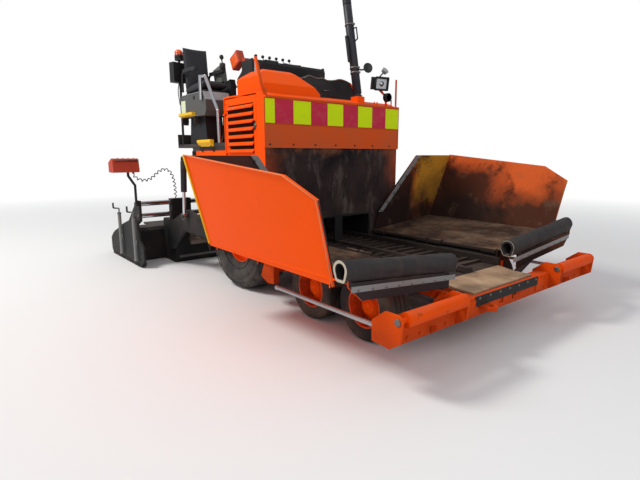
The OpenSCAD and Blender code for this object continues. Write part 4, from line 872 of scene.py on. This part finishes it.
def nuts(kit, centre, facing, count, radius, r):
    """A circle of bolts that face out to one side."""
    x, y, z = centre
    for a in [2 * math.pi * (i + 0.5) / count for i in range(count)]:
        kit.bolt((x + radius * math.cos(a), y, z + radius * math.sin(a)), (0, facing, 0), r)


def tread_bar(kit, s, start, half):
    """One bar from the tyre's middle to its shoulder, swept back and stepped down at its end."""
    x, y, z = REAR_WHEEL
    verts = []
    for t, w, down in ((0.0, 8, 0), (0.35, 60, 0), (0.7, 118, 3), (1.0, 158, 22)):
        a = start + SWEEP * t
        for off, r in ((-BAR_HALF, 524), (-BAR_HALF * 0.85, 546), (BAR_HALF * 0.85, 546), (BAR_HALF, 524)):
            r -= down
            verts.append((x + r * math.cos(a + off), s * (y + half * w), z + r * math.sin(a + off)))
    kit.add(verts, skin(4, 4, False) + [(0, 1, 2, 3), (15, 14, 13, 12)], tyre)


for s, word in SIDES:
    x, y, z = REAR_WHEEL
    kit = Kit()
    for i in range(BARS):
        for half in (-1, 1):
            tread_bar(kit, s, 2 * math.pi * (i + half / 4) / BARS, half)
    for w, r in ((178, 500), (180, 430), (172, 330)):
        profile = [(-6, r - 5), (0, r - 3), (0, r + 3), (-6, r + 5)]
        kit.lathe((x, s * (y + w - 2), z), (0, s, 0), profile, tyre, 72, ring=True)
    kit.make(f"tread_{word}", f"rear_wheel_{word}")
    kit = Kit()
    nuts(kit, (x, s * (y + 18), z), s, 10, 130, 12)
    kit.lathe((x, s * (y + 94), z), (0, s, 0), [(0, 60), (5, 58), (5, 30), (14, 26)], rim_paint, 28)
    nuts(kit, (x, s * (y + 90), z), s, 8, 74, 6)
    kit.make(f"rim_trim_{word}", f"rear_wheel_{word}")
    for n, x in FRONT_WHEELS:
        kit = Kit()
        # Painted shade: dark rings in the tyre's three grooves
        for w in (-45, 0, 45):
            groove = [(-4, 264), (-3, 266.2), (3, 266.2), (4, 264)]
            kit.lathe((x, s * (FRONT_Y + w), FRONT_Z), (0, 1, 0), groove, dark, 60, ring=True)
        dish = [(-70, 66), (-66, 150), (-64, 152), (-4, 62), (0, 60), (2, 30), (8, 28)]
        kit.lathe((x, s * (FRONT_Y + 63), FRONT_Z), (0, s, 0), dish, rim_paint, 40)
        nuts(kit, (x, s * (FRONT_Y + 18), FRONT_Z), s, 8, 118, 8)
        kit.make(f"front_wheel_trim_{n}_{word}", f"front_wheel_body_{n}_{word}")

# Augers: a smooth flight on its tube stands for the stepped blades
AUGER_X, AUGER_Z, AUGER_Y, AUGER_LONG = -1800, 330, 60, 780
AUGER_TURNS, AUGER_STEPS = 2.5, 200
FLIGHT = ((-7, 40), (-4, 149), (4, 149), (7, 40))
for s, word in SIDES:
    kit = Kit()
    kit.lathe((AUGER_X, s * AUGER_Y, AUGER_Z), (0, s, 0), [(0, 25), (0, 42), (AUGER_LONG, 42)], steel, 32)
    verts = []
    for t in [i / AUGER_STEPS for i in range(AUGER_STEPS + 1)]:
        a = 2 * math.pi * AUGER_TURNS * t
        middle = AUGER_Y + 20 + (AUGER_LONG - 40) * t
        verts += [(AUGER_X + r * math.cos(a), s * (middle + y), AUGER_Z + r * math.sin(a)) for y, r in FLIGHT]
    kit.add(verts, skin(AUGER_STEPS + 1, 4) + caps(AUGER_STEPS + 1, 4), steel)
    kit.make(f"auger_flight_{word}", f"auger_body_{word}", [f"auger_{word}"])

# Seats: crowned cushions with seams on a shell with arm rests
CUSHION_CELLS, CUSHION_ROUND, SEAM_DEEP = 26, 5.0, 7


def on_cushion(u, v, top, size):
    """A point of the cushion, u and v from -1 to 1: x forward, y across, z out of the seat."""
    rim = (1 - abs(u) ** CUSHION_ROUND) ** 0.5 * (1 - abs(v) ** CUSHION_ROUND) ** 0.5
    x = u * size[0] / 2 * (1 - 0.03 * (1 - v * v))
    y = v * size[1] / 2 * (1 - 0.03 * (1 - u * u))
    z = size[2] * 0.5 * rim
    if not top:
        return Vector((x, y, -z * 0.8))
    z *= 1 + 0.16 * (1 - u * u) * (1 - v * v)
    for seam in (-0.33, 0.33):
        z -= SEAM_DEEP * math.exp(-((v - seam) / 0.035) ** 2) * rim
    z -= 5 * math.exp(-((u - 0.1) / 0.04) ** 2) * rim
    return Vector((x, y, z))


def cushion(name, centre, size, turn):
    """A closed, crowned form whose sides pull in between its corners."""
    n = CUSHION_CELLS
    places = [math.sin(math.pi / 2 * (2 * i / n - 1)) for i in range(n + 1)]
    verts, faces = [], []
    for top in (True, False):
        start = len(verts)
        verts += [Vector(centre) + turn @ on_cushion(u, v, top, size) for u in places for v in places]
        for a in [start + i * (n + 1) + j for i in range(n) for j in range(n)]:
            quad = (a, a + n + 1, a + n + 2, a + 1)
            faces.append(quad if top else quad[:1] + quad[:0:-1])
    kit = Kit()
    kit.add(verts, faces, vinyl, True)
    obj = kit.make(name, None)
    bm = bmesh.new()
    bm.from_mesh(obj.data)
    bmesh.ops.remove_doubles(bm, verts=bm.verts, dist=0.0002)
    bmesh.ops.recalc_face_normals(bm, faces=bm.faces)
    bm.to_mesh(obj.data)
    bm.free()
    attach(obj, "chassis")


SEAT_Y, SHELL_HALF, BOX_TOP = 697, 120, 2051
SHELL = [(-1740, BOX_TOP), (-1270, BOX_TOP), (-1270, 2078), (-1700, 2078), (-1700, 2120), (-1768, 2560),
    (-1800, 2560), (-1790, 2300)]
ARM = ((-1745, 2090), (-1740, 2250), (-1700, 2300), (-1560, 2305), (-1380, 2298))
for s, word in SIDES:
    y = s * SEAT_Y
    cushion(f"seat_cushion_{word}", (-1480, y, 2118), (450, 300, 112), spin(-4))
    cushion(f"seat_back_{word}", (-1715, y, 2350), (470, 290, 92), spin(-97) @ spin(180, "Z"))
    kit = Kit()
    kit.prism(SHELL, "y", y - SHELL_HALF, y + SHELL_HALF, plastic)
    for side in (y - 165, y + 165):
        kit.tube(through([(x, side, z) for x, z in ARM], 6), 13, plastic)
        kit.box((-1690, side - 20, 2296), (-1370, side + 20, 2330), vinyl)
    kit.box((-1700, y - 150, BOX_TOP), (-1300, y + 150, BOX_TOP + 13), plastic)
    kit.make(f"seat_shell_{word}", "chassis", ["seats"] if s == RIGHT else ())

# Side boxes: blank label, light lid edge, latches, steps with their brackets and ribs, a hose
LID = [(-1770, BOX_TOP), (-1210, BOX_TOP), (-1150, 1962), (-1150, 1956), (-1213, 2046), (-1770, 2046)]
STEP_RIBS = 7
kit = Kit()
for s in (RIGHT, LEFT):
    kit.box((-1796, s * (BODY + 0.2), 1830), (-1675, s * (BODY + 2), 1990), label)
    kit.prism(LID, "y", s * 568, s * (BODY + 4), rod_grey)
    kit.box((-1460, s * (BODY + 0.2), 1985), (-1420, s * (BODY + 6), 2020), plastic)
    for x in (-1775, -1440):
        kit.prism([(x, 1806), (x + 14, 1806), (x + 14, 1760), (x, 1720)], "y", s * 800, s * 880, black)
    for x in (-1300, -1030):
        kit.tube([(x, s * 890, 1478), (x, s * 885, 1440), (x + 40, s * 872, 1412)], 8, black)
    for x0, x1, z in ((-1310, -1010, 1536), (-1780, -1430, 1846)):
        for x in [x0 + (x1 - x0) * (i + 0.5) / STEP_RIBS for i in range(STEP_RIBS)]:
            kit.box((x - 9, s * 880, z - 1), (x + 9, s * 908, z + 2.5), yellow)
    kit.box((-1700, s * 557, 1840), (-1400, s * 560, 2000), plastic)
    kit.tube(through([(-1240, s * 620, 1700), (-1200, s * 650, 1600), (-1180, s * 690, 1502)], 6), 9, plastic)
kit.make("side_box_trim", "chassis")

# Console: red boxes, dark cabinet with dial and handle, levers with knobs, round dials, steering wheel
kit = Kit()
kit.box((-1250, -500, 2330), (-1080, -420, 2470), red_box, spin(-25))
kit.box((-1060, -470, 2240), (-1000, -355, 2405), red_box, spin(8))
kit.box((-1240, -503, 2345), (-1100, -500.5, 2455), amber, spin(-25), (-1165, -460, 2400))
kit.box((-1130, -430, 2230), (-760, 430, 2370), plastic, spin(14))
kit.box((-1010, -500, 2190), (-802, -340, 2360), plastic)
kit.box((-801.5, -470, 2205), (-800, -355, 2335), dial)
kit.box((-1000, -330, 2200), (-800, -165, 2372), plastic)
handle = [(-802, -178, 2235), (-785, -170, 2240), (-778, -166, 2285), (-785, -170, 2332), (-802, -178, 2338)]
kit.tube(through(handle, 6), 8, plastic)
for y in range(-300, 151, 90):
    kit.rod((-1010, y, 2350), (-1040, y, 2440), 5, bare, 10)
    kit.lathe((-1040, y, 2436), (-0.3, 0, 1), [(0, 4), (4, 14), (16, 19), (28, 14), (32, 1)], knob, 16)
for i, y in enumerate((-360, -250, -130, 10, 140, 260)):
    kit.lathe((-1120, y, 2300), (-0.75, 0, 0.66), [(0, 34), (10, 34), (12, 30)], plastic, 24)
    kit.lathe((-1120, y, 2300), (-0.75, 0, 0.66), [(8, 29), (9, 29)], dial if i % 2 else red_box, 24)
kit.lathe((-1190, 0, 2330), (-0.5, 0, 0.86), [(-30, 24), (0, 30)], plastic, 20)
STEERING = Vector((-1205, 0, 2352))


def on_steering(a, r):
    return STEERING + spin(-30) @ Vector((r * math.cos(a), r * math.sin(a), 0))


kit.tube([on_steering(2 * math.pi * i / 36, 110) for i in range(37)], 11, plastic, 10)
for a in (0.5, 2.6, 4.7):
    kit.tube([STEERING, on_steering(a, 108)], 7, plastic, 8)

# Stand beside the right seat with its instrument and lever
kit.box((-1460, -514, 1570), (-1245, -444, 2165), deck_black)
kit.box((-1500, -512, 2100), (-1250, -446, 2190), plastic, spin(-10))
post = [(-260, 14), (-60, 14), (-50, 34), (20, 34), (30, 26)]
kit.lathe((-1485, -480, 2390), UP, post, deck_black, 20)
grip = [(-10, 6), (30, 8), (38, 20), (58, 26), (78, 20), (86, 2)]
kit.lathe((-1490, -480, 2430), (-0.2, 0, 1), grip, knob, 18)
kit.box((-1640, -515, 2190), (-1470, -440, 2375), casing, spin(-12))
kit.bolt((-1555, -516, 2300), (0, -1, 0), 12, dark)
kit.bolt((-1590, -516, 2250), (0, -1, 0), 8, dark)
kit.make("console_trim", "chassis")

# Mirror and beacon on their mast, with the lamp's lead
kit = Kit()
x, y = -1860, -840
glass = ((-80, 14), (50, 14), (50, 212), (-80, 212))
back = Vector((x - 5, y - 5, 2210))
kit.add([back + spin(12, "Z") @ Vector((-61, *p)) for p in glass], [(0, 1, 2, 3)], mirror)
kit.lathe((x, y, 2484), UP, [(0, 50), (34, 50), (36, 47.6)], plastic, 32)
dome = [(0, 47.8), (6, 47.6), (36, 44), (54, 34.5), (62, 20), (65, 1)]
kit.lathe((x, y, 2518), UP, dome, amber, 32)
for z in (2530, 2540, 2550):
    kit.lathe((x, y, z), UP, [(0, 47.5), (1.5, 49), (3, 47)], amber, 32, ring=True)
lead = [(x, y - 14, 2215), (x - 4, y - 30, 2120), (x + 4, y - 26, 2020), (x + 2, y - 18, 1960)]
kit.tube(through(lead, 8), 5, plastic)
kit.make("beacon_trim", "chassis")

# Screed: guide clamps, gas rail, hatches with bolts, strike-off edge, crown bolts
kit = Kit()
for s in (RIGHT, LEFT):
    for z in GUIDE_Z:
        for y, d in ((620, -1), (880, 1)):
            kit.lathe((GUIDE_X, s * y, z), (0, s * d, 0), [(0, 44), (10, 42), (10, 31)], black, 28)
            nuts(kit, (GUIDE_X, s * (y + d * 10), z), s * d, 6, 37, 4)
    rail = ((120, 560), (120, 600), (320, 600), (320, 560))
    kit.tube([(-2480, s * y, z) for y, z in rail], 9, black)
    kit.box((-2470, s * 400 - 120, 559), (-2210, s * 400 + 120, 566), screed_black)
    for x in (-2450, -2230):
        for y in (300, 500):
            kit.bolt((x, s * y, 566), UP, 7)
    kit.box((-2162, s * 450 - 400, 60), (-2156, s * 450 + 400, 90), bare)
for x in (-2220, -2470):
    kit.lathe((x, 0, 668), UP, [(0, 34), (24, 34), (26, 30)], bare, 6, False)
kit.make("screed_trim", "screed")

# Extensions: bolts, jack collars and grips, worn plate, guide nuts
for s, word in SIDES:
    kit = Kit()
    for x in (-2600, -2720):
        kit.bolt((x, s * 1291, 400), (0, s, 0), 9)
    for x, z in ((-2120, 150), (-2400, 150), (-2900, 150), (-3300, 120)):
        kit.bolt((x, s * 1335.5, z), (0, s, 0), 9)
    for x in JACK_X:
        kit.lathe((x, s * JACK_Y, 610), UP, [(0, 27), (14, 27), (16, 22)], bare, 20)
        kit.lathe((x, s * JACK_Y, 90), UP, [(-30, 26), (0, 26)], screed_black, 20)
        kit.rod((x, s * 1425, 690), (x, s * 1425, 760), 11, knob, 14)
    kit.box((-3420, s * 900, 315.5), (-2850, s * 1280, 318), bare)
    for z in GUIDE_Z:
        kit.lathe((GUIDE_X, s * 1292, z), (0, s, 0), [(-1, 24), (7, 24), (9, 18)], bare, 6, False)
    kit.make(f"extension_trim_{word}", f"screed_extension_{word}")

# Control boxes: knobs, switches, guard bar, the lead's socket; and the pin of each tow arm
for s, word in SIDES:
    kit = Kit()
    kit.box((-2362, s * 1310, 1200), (-2367, s * 1540, 1270), plastic)
    for y in [s * (1320 + i * 62) for i in range(4)]:
        kit.rod((-2300, y, 1312), (-2300, y, 1338), 9, knob, 12)
        kit.rod((-2250, y, 1322), (-2250, y, 1346), 7, bare, 12)
    guard = ((-2185, 1310, 1300), (-2160, 1310, 1310), (-2160, 1550, 1310), (-2185, 1550, 1300))
    kit.tube([(x, s * y, z) for x, y, z in guard], 7, plastic)
    kit.lathe((-2230, s * 1340, 1176), (0, 0, -1), [(0, 14), (16, 13), (22, 7)], plastic, 16)
    kit.make(f"control_trim_{word}", f"screed_extension_{word}")
    kit = Kit()
    kit.lathe((110, s * 965, 480), (0, s, 0), [(-1, 34), (8, 34), (10, 30)], bare, 24)
    kit.bolt((110, s * 974, 480), (0, s, 0), 9)
    kit.make(f"tow_pin_{word}", "chassis")

# Stage: a pale floor that fades to white far out for the camera, soft light
FADE_FROM, FADE_TO = 4.5, 13.0
bpy.ops.mesh.primitive_plane_add(size=80, location=(0, 0, 0))
floor = bpy.context.object
floor.name = "floor"
ground = Shader("floor", (0.8, 0.8, 0.8, 1), 0.9)
away = ground.new("ShaderNodeVectorMath")
away.operation = "LENGTH"
ground.put(away.inputs[0], ground.coords.outputs["Object"])
fade = ground.ramp(away.outputs["Value"], FADE_FROM, FADE_TO)
mix = ground.new("ShaderNodeMixShader")
seen = ground.new("ShaderNodeLightPath").outputs["Is Camera Ray"]
ground.put(mix.inputs[0], ground.math("MULTIPLY", fade, seen))
ground.put(mix.inputs[1], ground.bsdf.outputs[0])
ground.put(mix.inputs[2], ground.new("ShaderNodeEmission").outputs[0])
ground.put(ground.t.nodes["Material Output"].inputs["Surface"], mix.outputs[0])
floor.data.materials.append(ground.mat)
floor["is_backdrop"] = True

world = bpy.data.worlds.new("studio")
bpy.context.scene.world = world
world.use_nodes = True
tree = world.node_tree
tree.nodes.clear()
out = tree.nodes.new("ShaderNodeOutputWorld")
mix = tree.nodes.new("ShaderNodeMixShader")
path = tree.nodes.new("ShaderNodeLightPath")
tree.links.new(path.outputs["Is Camera Ray"], mix.inputs[0])
for k, color, strength in ((1, (0.94, 0.96, 1.0, 1), 0.55), (2, (1, 1, 1, 1), 1.0)):
    sky = tree.nodes.new("ShaderNodeBackground")
    sky.inputs["Color"].default_value = color
    sky.inputs["Strength"].default_value = strength
    tree.links.new(sky.outputs[0], mix.inputs[k])
tree.links.new(mix.outputs[0], out.inputs["Surface"])


def area(name, at, to, size, power, color=(1, 1, 1)):
    """A square lamp of a size in metres that looks from one point to another."""
    data = bpy.data.lights.new(name, "AREA")
    data.size, data.energy, data.color = size, power, color
    obj = bpy.data.objects.new(name, data)
    bpy.context.scene.collection.objects.link(obj)
    obj.location = at
    obj.rotation_mode = "QUATERNION"
    obj.rotation_quaternion = (Vector(to) - Vector(at)).to_track_quat("-Z", "Y")


area("key", (-3.5, -7, 9.5), (0, 0, 0.8), 3.0, 880, (1.0, 0.97, 0.92))
area("fill", (8, -2, 5), (0.5, 0, 1), 5.0, 120)

low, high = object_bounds()
